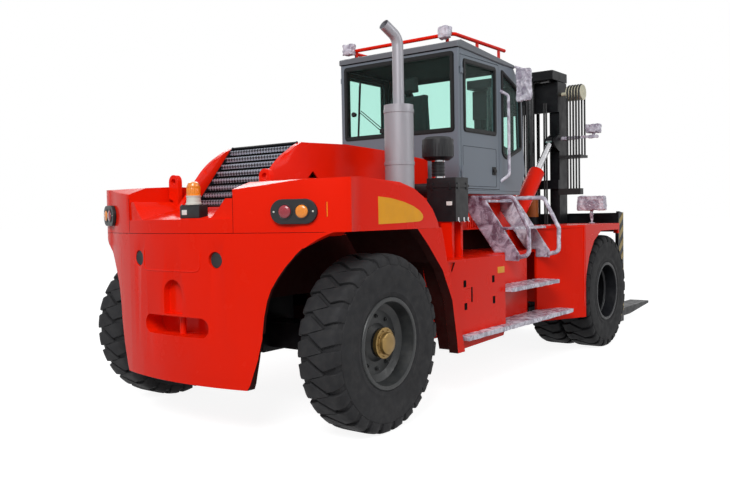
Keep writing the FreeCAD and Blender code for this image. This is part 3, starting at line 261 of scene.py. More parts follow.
def glass_of(name, tint, clear):
    """Thin tinted glass: mostly see-through, with the gloss of its face."""
    surface, tree = new_tree(name, bpy.data.materials)
    place = tree.nodes.new("ShaderNodeTexCoord").outputs["Object"]
    see = tree.nodes.new("ShaderNodeBsdfTransparent")
    see.inputs["Color"].default_value = tint
    shader = tree.nodes.new("ShaderNodeBsdfPrincipled")
    drift = spread(tree, noise(tree, 2.0, 3, place), 0, 1)
    link(tree, mixed(tree, drift, shade(tint, 0.28), shade(tint, 0.4)), shader.inputs["Base Color"])
    link(tree, spread(tree, noise(tree, 6, 4, place), 0.02, 0.07), shader.inputs["Roughness"])
    facing = tree.nodes.new("ShaderNodeLayerWeight")
    facing.inputs["Blend"].default_value = 0.5
    slant = tree.nodes.new("ShaderNodeMath")
    slant.operation = "POWER"
    slant.inputs[1].default_value = 4.5
    link(tree, facing.outputs["Facing"], slant.inputs[0])
    cover = tree.nodes.new("ShaderNodeMath")
    cover.operation = "MULTIPLY_ADD"
    cover.inputs[1].default_value = 0.8
    cover.inputs[2].default_value = 1 - clear
    link(tree, slant.outputs[0], cover.inputs[0])
    mix = tree.nodes.new("ShaderNodeMixShader")
    out = tree.nodes.new("ShaderNodeOutputMaterial")
    link(tree, cover.outputs[0], mix.inputs[0])
    link(tree, see.outputs[0], mix.inputs[1])
    link(tree, shader.outputs[0], mix.inputs[2])
    link(tree, mix.outputs[0], out.inputs["Surface"])
    return surface


DUST = rgb(150, 140, 128)
RED = finish_of("red_paint", rgb(230, 30, 5), 0.24, coat=0.03, grain=45, bump=0.012, depth=0.001, patch=1.2,
                darker=0.94, rough_span=0.05, specular=0.06)
# Dark red for faces in and under the wheel arches and for inner and lower faces: painted shade, with settled dust.
ARCH_SHADE_AND_DUST = finish_of("arch_painted_shade_and_dust", rgb(52, 13, 10), 0.8, grain=60, bump=0.1, patch=3, darker=0.6,
                 dust=rgb(60, 48, 44), dust_amount=0.2, specular=0.1)
# Dark for the inner faces of the cab: painted shade.
CAB_INSIDE_SHADE = finish_of("cab_inside_painted_shade", rgb(30, 36, 36), 0.8, grain=120, bump=0.1, patch=4, darker=0.7, specular=0.1)
DARK_ROD = finish_of("dark_rod", rgb(46, 46, 48), 0.3, metallic=0.5, grain=400, bump=0.02, patch=4,
                     rough_span=0.06)
GREY = finish_of("cab_grey", rgb(112, 121, 131), 0.36, coat=0.06, grain=45, bump=0.012, depth=0.001, patch=1.6,
                 darker=0.94, rough_span=0.05, specular=0.22)
ROOF_GREY = finish_of("roof_grey", rgb(108, 112, 118), 0.42, coat=0.05, grain=60, bump=0.03, patch=1.6,
                      specular=0.2)
BLACK = finish_of("black_paint", rgb(14, 15, 19), 0.42, grain=120, bump=0.06, patch=2.5, darker=0.75,
                  dust=rgb(48, 47, 48), dust_amount=0.2, specular=0.16)
PLASTIC = finish_of("black_plastic", rgb(22, 23, 26), 0.48, grain=300, bump=0.15, depth=0.0008, patch=5,
                    darker=0.8, specular=0.35)
RUBBER = finish_of("tyre_rubber", rgb(36, 36, 38), 0.74, grain=180, bump=0.15, depth=0.001, patch=3, darker=0.8,
                   dust=rgb(74, 72, 70), dust_amount=0.18, specular=0.25)
RIM = finish_of("rim_black", rgb(44, 46, 47), 0.42, grain=90, bump=0.05, patch=4, darker=0.75,
                dust=rgb(80, 78, 72), dust_amount=0.15, specular=0.4)
SEAT = finish_of("seat_fabric", rgb(26, 27, 30), 0.85, grain=900, bump=0.5, depth=0.0008, patch=9, darker=0.7)
CHROME = finish_of("rod_chrome", rgb(205, 205, 208), 0.16, metallic=1.0, grain=400, bump=0.02, patch=4,
                   rough_span=0.06, stretch=(1, 1, 8))
STEEL = finish_of("exhaust_steel", rgb(152, 151, 157), 0.42, metallic=0.35, grain=60, bump=0.03, patch=6,
                  darker=0.9, rough_span=0.08, stretch=(1, 1, 0.25), specular=0.3)
STEP = finish_of("step_grey", rgb(170, 172, 176), 0.4, metallic=0.3, grain=60, bump=0.08, patch=7, darker=0.8)
BRASS = finish_of("hub_brass", rgb(150, 122, 72), 0.38, metallic=0.7, grain=200, bump=0.08, patch=12, darker=0.7,
                  rough_span=0.1)
GASKET = finish_of("window_rubber", rgb(14, 15, 17), 0.55, grain=200, bump=0.05, patch=8, darker=0.7,
                   specular=0.3)
YELLOW = finish_of("plate_yellow", rgb(232, 158, 18), 0.4, grain=200, bump=0.02, patch=9, darker=0.92,
                   specular=0.25)
GOLD_STRIPE = finish_of("stripe_gold", rgb(150, 126, 56), 0.5, grain=160, bump=0.1, patch=9, darker=0.7)
PALE = finish_of("pale_plastic", rgb(206, 204, 194), 0.5, grain=200, bump=0.05, patch=9, darker=0.85)
SHEAVE = finish_of("sheave_nylon", rgb(214, 210, 184), 0.5, grain=200, bump=0.05, patch=12, darker=0.8)
AMBER = finish_of("amber_lens", rgb(240, 138, 10), 0.22, coat=0.4, grain=160, bump=0.3, patch=14, darker=0.8)
RED_LENS = finish_of("red_lens", rgb(150, 22, 42), 0.22, coat=0.4, grain=160, bump=0.3, patch=14, darker=0.75)
HOSE = finish_of("hose_rubber", rgb(20, 20, 22), 0.6, grain=260, bump=0.2, depth=0.001, patch=8, darker=0.7)
PRIMER = finish_of("cylinder_orange", rgb(196, 104, 22), 0.45, grain=120, bump=0.06, patch=8, darker=0.75)
SHADE = finish_of("deep_shade", rgb(9, 9, 10), 0.9, grain=60, bump=0.02, patch=6, darker=0.6, specular=0.05)
SIGN_WHITE = finish_of("label_white", rgb(222, 222, 218), 0.45, grain=200, bump=0.02, patch=9, darker=0.93)


def film_of(name, dark, pale, scale=11.0, relief_depth=0.012):
    """Clouded packing film drawn over a piece: creases that catch the light over a darker ground."""
    surface, tree = new_tree(name, bpy.data.materials)
    place = tree.nodes.new("ShaderNodeTexCoord").outputs["Object"]
    folds = tree.nodes.new("ShaderNodeTexNoise")
    folds.inputs["Scale"].default_value = scale
    folds.inputs["Detail"].default_value = 3
    folds.inputs["Distortion"].default_value = 1.4
    link(tree, place, folds.inputs["Vector"])
    creases = tree.nodes.new("ShaderNodeTexVoronoi")
    creases.feature = "DISTANCE_TO_EDGE"
    creases.inputs["Scale"].default_value = scale * 1.6
    bent = tree.nodes.new("ShaderNodeVectorMath")
    bent.operation = "ADD"
    link(tree, place, bent.inputs[0])
    link(tree, folds.outputs["Color"], bent.inputs[1])
    link(tree, bent.outputs[0], creases.inputs["Vector"])
    ridge = spread(tree, creases.outputs["Distance"], 1, 0, 0.0, 0.09)
    cloud = spread(tree, folds.outputs["Fac"], 0, 1, 0.36, 0.66)
    height = tree.nodes.new("ShaderNodeMath")
    height.operation = "MULTIPLY_ADD"
    height.inputs[1].default_value = 0.3
    link(tree, ridge, height.inputs[0])
    link(tree, cloud, height.inputs[2])
    shader = tree.nodes.new("ShaderNodeBsdfPrincipled")
    shown = spread(tree, height.outputs[0], 0, 1, 0.1, 1.1)
    link(tree, mixed(tree, shown, dark, pale), shader.inputs["Base Color"])
    link(tree, spread(tree, cloud, 0.16, 0.4), shader.inputs["Roughness"])
    shader.inputs["Specular IOR Level"].default_value = 0.55
    relief = tree.nodes.new("ShaderNodeBump")
    relief.inputs["Strength"].default_value = 0.4
    relief.inputs["Distance"].default_value = relief_depth
    link(tree, height.outputs[0], relief.inputs["Height"])
    link(tree, relief.outputs[0], shader.inputs["Normal"])
    out = tree.nodes.new("ShaderNodeOutputMaterial")
    link(tree, shader.outputs[0], out.inputs["Surface"])
    return surface


def mesh_of(name, ground, wire, cell):
    """Punched sheet: a slanting checker of small dark holes in grey metal."""
    surface, tree = new_tree(name, bpy.data.materials)
    place = tree.nodes.new("ShaderNodeTexCoord").outputs["Object"]
    slanted = tree.nodes.new("ShaderNodeMapping")
    slanted.inputs["Rotation"].default_value = (math.radians(45), 0, 0)
    slanted.inputs["Scale"].default_value = (0, 1, 1)
    link(tree, place, slanted.inputs["Vector"])
    checks = tree.nodes.new("ShaderNodeTexChecker")
    checks.inputs["Scale"].default_value = 1 / cell
    checks.inputs["Color1"].default_value = ground
    checks.inputs["Color2"].default_value = wire
    link(tree, slanted.outputs[0], checks.inputs["Vector"])
    patches = spread(tree, noise(tree, 5, 4, place), 0, 0.3)
    shader = tree.nodes.new("ShaderNodeBsdfPrincipled")
    link(tree, mixed(tree, patches, checks.outputs["Color"], shade(wire, 0.5)), shader.inputs["Base Color"])
    shader.inputs["Metallic"].default_value = 0.35
    link(tree, spread(tree, noise(tree, 40, 4, place), 0.3, 0.5), shader.inputs["Roughness"])
    relief = tree.nodes.new("ShaderNodeBump")
    relief.inputs["Strength"].default_value = 0.4
    relief.inputs["Distance"].default_value = 0.002
    link(tree, checks.outputs["Fac"], relief.inputs["Height"])
    link(tree, relief.outputs[0], shader.inputs["Normal"])
    out = tree.nodes.new("ShaderNodeOutputMaterial")
    link(tree, shader.outputs[0], out.inputs["Surface"])
    return surface


GLASS = glass_of("cab_glass", rgb(236, 252, 248), 0.98)
FILM = film_of("packing_film", rgb(150, 142, 160), rgb(222, 219, 230), 8.0)
THIN_FILM = film_of("packing_film_thin", rgb(98, 76, 94), rgb(196, 188, 206), 6.0)
GRILLE = mesh_of("grille_sheet", rgb(6, 7, 10), rgb(150, 154, 168), 0.024)
# Darker copies of the tyre rubber and rim black for the front wheels: painted shade, as the front wheels stand in
# shade.
FRONT_RUBBER_SHADED = finish_of("front_tyre_rubber_painted_shade", rgb(25, 25, 27), 0.74, grain=180, bump=0.15, depth=0.001, patch=3,
                        darker=0.8, specular=0.2)
FRONT_RIM_SHADED = finish_of("front_rim_black_painted_shade", rgb(27, 28, 32), 0.42, grain=90, bump=0.05, patch=4, darker=0.75,
                     specular=0.3)

SLOTS = {"tyre_rubber": RUBBER, "rim_black": RIM, "red_paint": RED, "cab_grey": GREY, "cab_glass": GLASS,
         "black_paint": BLACK, "black_plastic": PLASTIC, "seat_fabric": SEAT, "rod_chrome": CHROME,
         "exhaust_steel": STEEL, "step_grey": STEP}


def dress_nodes():
    for row in frame["record"]["subparts"]:
        data = frame["nodes"][row["node"]].data
        data.materials.clear()
        data.materials.append(SLOTS[row["material_slot"]])


dress_nodes()
# The front rims take the darker rim black of painted shade.
for plain_node, plain_surface in (("hose_sheaves", SHEAVE), ("mast_hoses", HOSE), ("lift_rods", DARK_ROD),
                                  ("front_rims_left", FRONT_RIM_SHADED), ("front_rims_right", FRONT_RIM_SHADED)):
    frame["nodes"][plain_node].data.materials[0] = plain_surface


# Mesh making

def finish_piece(obj, surface, body, smooth=35):
    mesh = obj.data
    mesh.materials.clear()
    mesh.materials.append(surface)
    if smooth and obj.type == "MESH":
        mesh.shade_smooth()
        mesh.set_sharp_from_angle(angle=math.radians(smooth))
    bpy.context.scene.collection.objects.link(obj)
    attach(obj, body)
    return obj


def piece_of(name, bm, surface, body, smooth=35):
    """Turns a bmesh into a piece that rides on a body."""
    bmesh.ops.recalc_face_normals(bm, faces=bm.faces)
    mesh = bpy.data.meshes.new(name)
    bm.to_mesh(mesh)
    bm.free()
    return finish_piece(bpy.data.objects.new(name, mesh), surface, body, smooth)


def add_box(bm, low, high, bevel=0.0, segments=2, turn=None):
    """A box between two corners in millimetres, with rounded edges and an optional turn about its middle."""
    first, second = at(*low), at(*high)
    size = second - first
    scale = Matrix.Diagonal((abs(size.x), abs(size.y), abs(size.z), 1))
    place = Matrix.Translation((first + second) / 2) @ (turn or Matrix.Identity(4)) @ scale
    corners = bmesh.ops.create_cube(bm, size=1.0, matrix=place)["verts"]
    if bevel:
        edges = list({edge for corner in corners for edge in corner.link_edges})
        bmesh.ops.bevel(bm, geom=edges, offset=bevel / 1000, segments=segments, profile=0.7,
                        affect="EDGES", clamp_overlap=True)


def add_lathe(bm, centre, axis, profile, steps=48):
    """A form turned about an axis through centre, from (radius, distance along) pairs in millimetres."""
    axis = Vector(axis).normalized()
    side = axis.orthogonal().normalized()
    up = axis.cross(side)
    rings = []
    for index in range(steps):
        angle = 2 * math.pi * index / steps
        way = side * math.cos(angle) + up * math.sin(angle)
        rings.append([bm.verts.new(centre + axis * (along / 1000) + way * (radius / 1000))
                      for radius, along in profile])
    for ring, following in zip(rings, rings[1:] + rings[:1]):
        for index in range(len(profile) - 1):
            bm.faces.new((ring[index], ring[index + 1], following[index + 1], following[index]))
    bmesh.ops.remove_doubles(bm, verts=[v for ring in rings for v in ring], dist=0.00001)


def add_prism(bm, outline, shift, bevel=0.0):
    """A plate with an outline of places in millimetres, thick by shift in millimetres."""
    lows = [bm.verts.new(at(*p)) for p in outline]
    highs = [bm.verts.new(at(*p) + Vector(shift) / 1000) for p in outline]
    faces = [bm.faces.new(lows), bm.faces.new(highs[::-1])]
    count = len(outline)
    for index in range(count):
        after = (index + 1) % count
        faces.append(bm.faces.new((lows[after], lows[index], highs[index], highs[after])))
    if bevel:
        edges = list({edge for face in faces for edge in face.edges})
        bmesh.ops.bevel(bm, geom=edges, offset=bevel / 1000, segments=2, profile=0.7,
                        affect="EDGES", clamp_overlap=True)


def tube(name, points, radius, surface, body, order=3):
    """A smooth round bar or hose that is held by the object all along, through control points."""
    curve = bpy.data.curves.new(name, "CURVE")
    curve.dimensions = "3D"
    curve.bevel_depth = radius / 1000
    curve.bevel_resolution = 5
    curve.resolution_u = 10
    curve.use_fill_caps = True
    spline = curve.splines.new("NURBS")
    spline.points.add(len(points) - 1)
    for point, place in zip(spline.points, points):
        point.co = (*at(*place), 1)
    spline.order_u = order
    spline.use_endpoint_u = True
    return finish_piece(bpy.data.objects.new(name, curve), surface, body)


def body_of_node(node):
    return frame["nodes"][node]["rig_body"]


def rounded(node, surface, width=6.0, segments=3, angle=28, change=None):
    """Stands for a CAD node, with its hard edges rounded off so that they catch the light."""
    bm = bmesh.new()
    bm.from_mesh(frame["nodes"][node].data)
    bmesh.ops.remove_doubles(bm, verts=bm.verts, dist=0.00003)
    if change:
        change(bm)
    bmesh.ops.dissolve_limit(bm, angle_limit=math.radians(1.5), verts=bm.verts, edges=bm.edges)
    piece = piece_of(node + "_shell", bm, surface, body_of_node(node), smooth=0)
    bevel = piece.modifiers.new("edges", "BEVEL")
    bevel.width = width / 1000
    bevel.segments = segments
    bevel.limit_method = "ANGLE"
    bevel.angle_limit = math.radians(angle)
    bevel.harden_normals = True
    piece.data.shade_smooth()
    piece.data.set_sharp_from_angle(angle=math.radians(angle + 12))
    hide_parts(node)
    return piece


def cut_fine(bm, reach):
    """Cuts each edge that is longer than reach, until none is."""
    bmesh.ops.triangulate(bm, faces=bm.faces)
    for _ in range(12):
        long_edges = [edge for edge in bm.edges if edge.calc_length() > reach]
        if not long_edges:
            break
        bmesh.ops.subdivide_edges(bm, edges=long_edges, cuts=1)
        bmesh.ops.triangulate(bm, faces=[face for face in bm.faces if len(face.verts) > 3])


def wrapped(node, surface, reach, push, soften=0, scale=9.0):
    """Stands for a CAD node that is wrapped in film: its form made soft, with lumps and folds."""
    bm = bmesh.new()
    bm.from_mesh(frame["nodes"][node].data)
    bmesh.ops.remove_doubles(bm, verts=bm.verts, dist=0.00003)
    bmesh.ops.dissolve_limit(bm, angle_limit=math.radians(1.5), verts=bm.verts, edges=bm.edges)
    cut_fine(bm, reach / 1000)
    for _ in range(soften):
        bmesh.ops.smooth_vert(bm, verts=bm.verts, factor=0.5, use_axis_x=True, use_axis_y=True, use_axis_z=True)
    bm.normal_update()
    for vert in bm.verts:
        lump = space_noise.noise(vert.co * scale)
        fold = abs(space_noise.noise(vert.co * scale * 2.3 + Vector((4, 7, 1))))
        vert.co += vert.normal * (push / 1000) * (0.25 + 0.8 * lump - 1.1 * fold)
    piece = piece_of(node + "_wrapped", bm, surface, body_of_node(node), smooth=70)
    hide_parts(node)
    return piece


def second_finish(piece, surface, chosen):
    """Gives another finish to the faces for which chosen(middle in millimetres, normal) holds."""
    piece.data.materials.append(surface)
    for face in piece.data.polygons:
        middle = face.center * 1000 + Vector((MIDDLE_X, 0, 0))
        if chosen(middle, face.normal):
            face.material_index = len(piece.data.materials) - 1


def bent_tube(name, points, trim, radius, surface, body):
    """A round bar through places in millimetres, with each corner bent over a short way."""
    places = [Vector(p) for p in points]
    line = [places[0]]
    for before, corner, after in zip(places, places[1:], places[2:]):
        line += [corner + (before - corner).normalized() * trim, corner,
                 corner + (after - corner).normalized() * trim]
    return tube(name, line + [places[-1]], radius, surface, body)


def rounded_corners(outline, radius, steps=5):
    """An outline in millimetres with each corner turned into a short curve."""
    points = [Vector(p) for p in outline]
    result = []
    for before, corner, after in zip(points[-1:] + points[:-1], points, points[1:] + points[:1]):
        trim = min(radius, (before - corner).length * 0.45, (after - corner).length * 0.45)
        first = corner + (before - corner).normalized() * trim
        second = corner + (after - corner).normalized() * trim
        for index in range(steps + 1):
            share = index / steps
            result.append(first.lerp(corner, share).lerp(corner.lerp(second, share), share))
    return result


def moved_inward(outline, width):
    """An outline moved inward in its own plane."""
    points = [Vector(p) for p in outline]
    middle = sum(points, Vector()) / len(points)
    normal = Vector()
    for first, second in zip(points, points[1:] + points[:1]):
        normal += (first - middle).cross(second - middle)
    normal.normalize()
    result = []
    for before, corner, after in zip(points[-1:] + points[:-1], points, points[1:] + points[:1]):
        first = normal.cross((corner - before).normalized())
        second = normal.cross((after - corner).normalized())
        result.append(corner + (first + second) * (width / max(1 + first.dot(second), 0.2)))
    return result


def add_band(bm, outline, width, shift):
    """A flat frame that follows an outline inward by its width, thick by shift."""
    outer = [Vector(p) for p in outline]
    inner = moved_inward(outline, width)
    shift = Vector(shift)
    rings = [[bm.verts.new(at(*(point + move))) for point in line]
             for line, move in ((outer, Vector()), (inner, Vector()), (inner, shift), (outer, shift))]
    count = len(outer)
    for ring, following in zip(rings, rings[1:] + rings[:1]):
        for index in range(count):
            after = (index + 1) % count
            bm.faces.new((ring[index], ring[after], following[after], following[index]))


def add_bar(bm, first, second, width, height, bevel=0.0, spin=0.0):
    """A straight bar between two places in millimetres."""
    start, end = at(*first), at(*second)
    way = end - start
    turn = way.to_track_quat("X", "Z").to_matrix().to_4x4() @ Matrix.Rotation(math.radians(spin), 4, "X")
    place = Matrix.Translation((start + end) / 2) @ turn @ \
        Matrix.Diagonal((way.length, width / 1000, height / 1000, 1))
    corners = bmesh.ops.create_cube(bm, size=1.0, matrix=place)["verts"]
    if bevel:
        edges = list({edge for corner in corners for edge in corner.link_edges})
        bmesh.ops.bevel(bm, geom=edges, offset=bevel / 1000, segments=2, profile=0.7, affect="EDGES",
                        clamp_overlap=True)


# Tyres and wheels

PITCHES = 26
TYRE_RADIUS = 690.0
TYRE_HALF = 187.5
PITCH = 2 * math.pi * TYRE_RADIUS / PITCHES
KNEE = 0.35
KNEE_RISE = 50.0
SHOULDER_RISE = 15.0
# Share across half the tread, share of the half width, radius on a block, radius in a groove
TREAD = [(0.0, 0.0, 690.0, 0.0, 664.0), (0.5, 0.53, 690.0, 0.52, 664.0), (0.7, 0.75, 686.0, 0.73, 660.0),
         (0.85, 0.9, 671.0, 0.86, 648.0), (0.95, 0.965, 643.0, 0.915, 625.0), (1.0, 0.985, 606.0, 0.935, 596.0)]
SIDEWALL = [(0.935, 606), (0.985, 596), (1.0, 560), (0.998, 500), (0.975, 440), (0.95, 408), (0.962, 402),
            (0.962, 392), (0.945, 386), (0.93, 366), (0.885, 352), (0.85, 345.5)]


def tread_place(across, sink):
    """Signed share of the half width and the radius at a share across the tread, sunk from block to groove."""
    size = min(abs(across), 1.0)
    for near, far in zip(TREAD, TREAD[1:]):
        if size <= far[0]:
            share = (size - near[0]) / (far[0] - near[0])
            top = [near[k] + (far[k] - near[k]) * share for k in range(1, 5)]
            width = top[0] + (top[2] - top[0]) * sink
            radius = top[1] + (top[3] - top[1]) * sink
            return math.copysign(width, across), radius
    return None


def groove_line(across):
    size = abs(across)
    rise = KNEE_RISE * size / KNEE if size < KNEE else \
        KNEE_RISE + (SHOULDER_RISE - KNEE_RISE) * (size - KNEE) / (1 - KNEE)
    return math.copysign(rise, across)


def add_tread_block(bm, place, start, flip):
    """One block between two bent grooves, from the zigzag middle groove out over the shoulder."""
    shares = (0, 0.13, 0.26, 0.39, 0.5185, 0.62, 0.72, 0.81, 0.89, 0.95, 1.0)
    rows = 4

    def spot(share, row, inset, sink):
        low_across = KNEE + 0.02 + (1 - KNEE - 0.02) * share
        high_across = -KNEE + 0.02 + (1 + KNEE - 0.02) * share
        gap = (12 + 17 * share) + inset
        low = groove_line(low_across) + gap
        high = PITCH + groove_line(high_across) - gap
        ratio = row / rows
        across = low_across + (high_across - low_across) * ratio
        across += inset * (0.006 if share == 0 else (-0.004 if share == 1 else 0))
        along = low + (high - low) * ratio
        return place(start + flip * along, flip * across, sink)

    grid = [[bm.verts.new(spot(share, row, 4.0, 0.0)) for row in range(rows + 1)] for share in shares]
    for first, second in zip(grid, grid[1:]):
        for row in range(rows):
            bm.faces.new((first[row], second[row], second[row + 1], first[row + 1]))
    last = len(shares) - 1
    border = [(column, 0) for column in range(last)] + [(last, row) for row in range(rows)] + \
        [(column, rows) for column in range(last, 0, -1)] + [(0, row) for row in range(rows, 0, -1)]
    loop = [grid[column][row] for column, row in border]
    for inset, sink in ((0.0, 0.17), (-3.0, 1.1)):
        ring = [bm.verts.new(spot(shares[column], row, inset, sink)) for column, row in border]
        for index in range(len(loop)):
            after = (index + 1) % len(loop)
            bm.faces.new((loop[index], loop[after], ring[after], ring[index]))
        loop = ring


def build_tyre(name, centre_x, middle_y, body, turn, surface):
    bm = bmesh.new()
    hub = at(centre_x, middle_y, AXLE_Z)

    def place(along, across, sink):
        width, radius = tread_place(across, sink)
        angle = along / TYRE_RADIUS + turn
        return hub + Vector((math.sin(angle) * radius, width * TYRE_HALF, math.cos(angle) * radius)) / 1000

    for index in range(PITCHES):
        add_tread_block(bm, place, index * PITCH, 1)
        add_tread_block(bm, place, index * PITCH, -1)
    floor_line = [(row[4], -row[3] * TYRE_HALF) for row in reversed(TREAD)] + \
        [(row[4], row[3] * TYRE_HALF) for row in TREAD[1:]]
    wall = [(radius, width * TYRE_HALF) for width, radius in SIDEWALL]
    profile = [(radius, -along) for radius, along in reversed(wall)] + floor_line + wall
    add_lathe(bm, hub, (0, 1, 0), profile, steps=104)
    return piece_of(name, bm, surface, body, smooth=32)


def build_tyres():
    for label, sign in SIDES:
        rear = build_tyre(f"rear_tread_{label}", 0, sign * 1224.5, f"rear_wheel_{label}",
                          0.05 if sign > 0 else 0.0, RUBBER)
        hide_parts(f"rear_tyre_{label}")
        body = f"front_wheel_{label}"
        # The front tyres take the darker rubber of painted shade.
        outer = build_tyre(f"front_tread_outer_{label}", FRONT_AXLE_X, sign * 1239.5, body, 0.02, FRONT_RUBBER_SHADED)
        build_tyre(f"front_tread_inner_{label}", FRONT_AXLE_X, sign * 839.5, body, 0.1, FRONT_RUBBER_SHADED)
        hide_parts(f"front_tyres_{label}")


def ring_places(centre_x, y, radius, count, phase=0.0):
    for index in range(count):
        angle = 2 * math.pi * index / count + phase
        yield at(centre_x + radius * math.sin(angle), y, AXLE_Z + radius * math.cos(angle))


def add_nut(bm, place, axis, radius, height):
    add_lathe(bm, place, axis, [(radius * 1.35, 0), (radius * 1.35, 3), (radius * 1.05, 3), (radius, height * 0.85),
                                (radius * 0.85, height), (0, height)], steps=6)
    add_lathe(bm, place, axis, [(radius * 0.5, height - 1), (radius * 0.5, height + 9), (radius * 0.42, height + 11),
                                (0, height + 11)], steps=10)


def build_rear_wheel_details():
    for label, sign in SIDES:
        body = f"rear_wheel_{label}"
        axis = (0, sign, 0)
        cap = bmesh.new()
        hub = at(0, 0, AXLE_Z)
        add_lathe(cap, hub, axis, [(113, 1318), (113, 1330), (119, 1334), (119.5, 1352), (116, 1354), (88, 1355),
                                   (85.5, 1358), (85, 1378), (82, 1388), (74, 1393.5), (40, 1395), (0, 1395.5)],
                  steps=64)
        for place in ring_places(0, sign * 1353, 102, 10, 0.3):
            add_nut(cap, place, axis, 6, 5)
        piece_of(f"rear_hub_cap_{label}", cap, BRASS, body)
        nuts = bmesh.new()
        for place in ring_places(0, sign * 1262, 205, 10):
            add_nut(nuts, place, axis, 17, 18)
        piece_of(f"rear_wheel_nuts_{label}", nuts, RIM, body)
        ring = bmesh.new()
        add_lathe(ring, hub, axis, [(322, 1380), (322, 1399), (328, 1405), (340, 1407), (352, 1404), (357, 1396),
                                    (352, 1388), (344, 1386)], steps=96)
        add_lathe(ring, hub, axis, [(323.5, 1300), (312, 1306), (310, 1318), (316, 1330), (323.5, 1334)], steps=96)
        piece_of(f"rear_lock_ring_{label}", ring, RIM, body)


def build_front_wheel_details():
    for label, sign in SIDES:
        body = f"front_wheel_{label}"
        axis = (0, sign, 0)
        hub = at(FRONT_AXLE_X, 0, AXLE_Z)
        # The front hub cover, nuts and lock rings take the darker rim black of painted shade.
        cover = bmesh.new()
        add_lathe(cover, hub, axis, [(166, 1128), (166, 1140), (158, 1146), (155, 1236), (148, 1250), (120, 1256),
                                     (116, 1252), (60, 1254), (54, 1266), (0, 1268)], steps=64)
        for place in ring_places(FRONT_AXLE_X, sign * 1252, 134, 12):
            add_nut(cover, place, axis, 9, 8)
        piece_of(f"front_hub_cover_{label}", cover, FRONT_RIM_SHADED, body)
        nuts = bmesh.new()
        for place in ring_places(FRONT_AXLE_X, sign * 1126, 235, 16):
            add_nut(nuts, place, axis, 17, 20)
        piece_of(f"front_wheel_nuts_{label}", nuts, FRONT_RIM_SHADED, body)
        ring = bmesh.new()
        add_lathe(ring, hub, axis, [(322, 1394), (322, 1414), (328, 1420), (340, 1422), (352, 1419), (357, 1411),
                                    (352, 1403), (344, 1401)], steps=96)
        add_lathe(ring, hub, axis, [(323.5, 1240), (311, 1248), (308, 1262), (314, 1276), (323.5, 1282)], steps=96)
        piece_of(f"front_lock_ring_{label}", ring, FRONT_RIM_SHADED, body)


# Plan of the rear body

def arc_points(first, second, third, count):
    """Points of the arc through three plan places."""
    (x1, y1), (x2, y2), (x3, y3) = first, second, third
    scale = 2 * (x1 * (y2 - y3) + x2 * (y3 - y1) + x3 * (y1 - y2))
    sizes = [x * x + y * y for x, y in (first, second, third)]
    cx = (sizes[0] * (y2 - y3) + sizes[1] * (y3 - y1) + sizes[2] * (y1 - y2)) / scale
    cy = (sizes[0] * (x3 - x2) + sizes[1] * (x1 - x3) + sizes[2] * (x2 - x1)) / scale
    radius = math.hypot(x1 - cx, y1 - cy)
    start = math.atan2(y1 - cy, x1 - cx)
    sweep = (math.atan2(y3 - cy, x3 - cx) - start + math.pi) % (2 * math.pi) - math.pi
    return [(cx + radius * math.cos(start + sweep * k / count), cy + radius * math.sin(start + sweep * k / count))
            for k in range(count + 1)]


SHARP_PLAN = arc_points((-932, 0), (-870, 589.4), (-710, 1079.4), 40) + \
    arc_points((-710, 1079.4), (-614, 1289.4), (-462, 1400), 40)[1:] + [(730, 1400)]
BEND_STEPS = 17
BEND_REACH = 178.0
BEND_START = len(SHARP_PLAN) - 2 - BEND_STEPS
bend_first = Vector(SHARP_PLAN[BEND_START])
bend_last = Vector((SHARP_PLAN[-2][0] + BEND_REACH, SHARP_PLAN[-2][1]))
bend_way = (bend_first - Vector(SHARP_PLAN[BEND_START - 1])).normalized()
bend_corner = bend_first + bend_way * ((bend_last.y - bend_first.y) / bend_way.y)
bend_length = sum((Vector(p) - Vector(q)).length for p, q in
                  zip(SHARP_PLAN[BEND_START:-1], SHARP_PLAN[BEND_START + 1:-1])) + BEND_REACH


def bend_place(share):
    """A place on the curve that eases the rear corner into the straight side."""
    return bend_first.lerp(bend_corner, share).lerp(bend_corner.lerp(bend_last, share), share)


REAR_PLAN = SHARP_PLAN[:BEND_START] + [tuple(bend_place(k / 24)) for k in range(25)] + [(730, 1400)]


def soften_top(bm):
    """Rounds the long edge where the fender's wall meets its top."""
    chosen = []
    for edge in bm.edges:
        if len(edge.link_faces) != 2:
            continue
        heights = sorted(abs(face.normal.z) for face in edge.link_faces)
        middle = (edge.verts[0].co + edge.verts[1].co) / 2
        if heights[0] < 0.2 and heights[1] > 0.3 and middle.z > 1.57:
            if min(face.normal.dot(middle - face.calc_center_median()) for face in edge.link_faces) > -0.01:
                outward = sum((face.normal for face in edge.link_faces), Vector())
                if outward.z > 0 and outward.y * middle.y > 0 or outward.x < -0.5:
                    chosen.append(edge)
    bmesh.ops.bevel(bm, geom=chosen, offset=0.06, segments=6, profile=0.5, affect="EDGES", clamp_overlap=True)


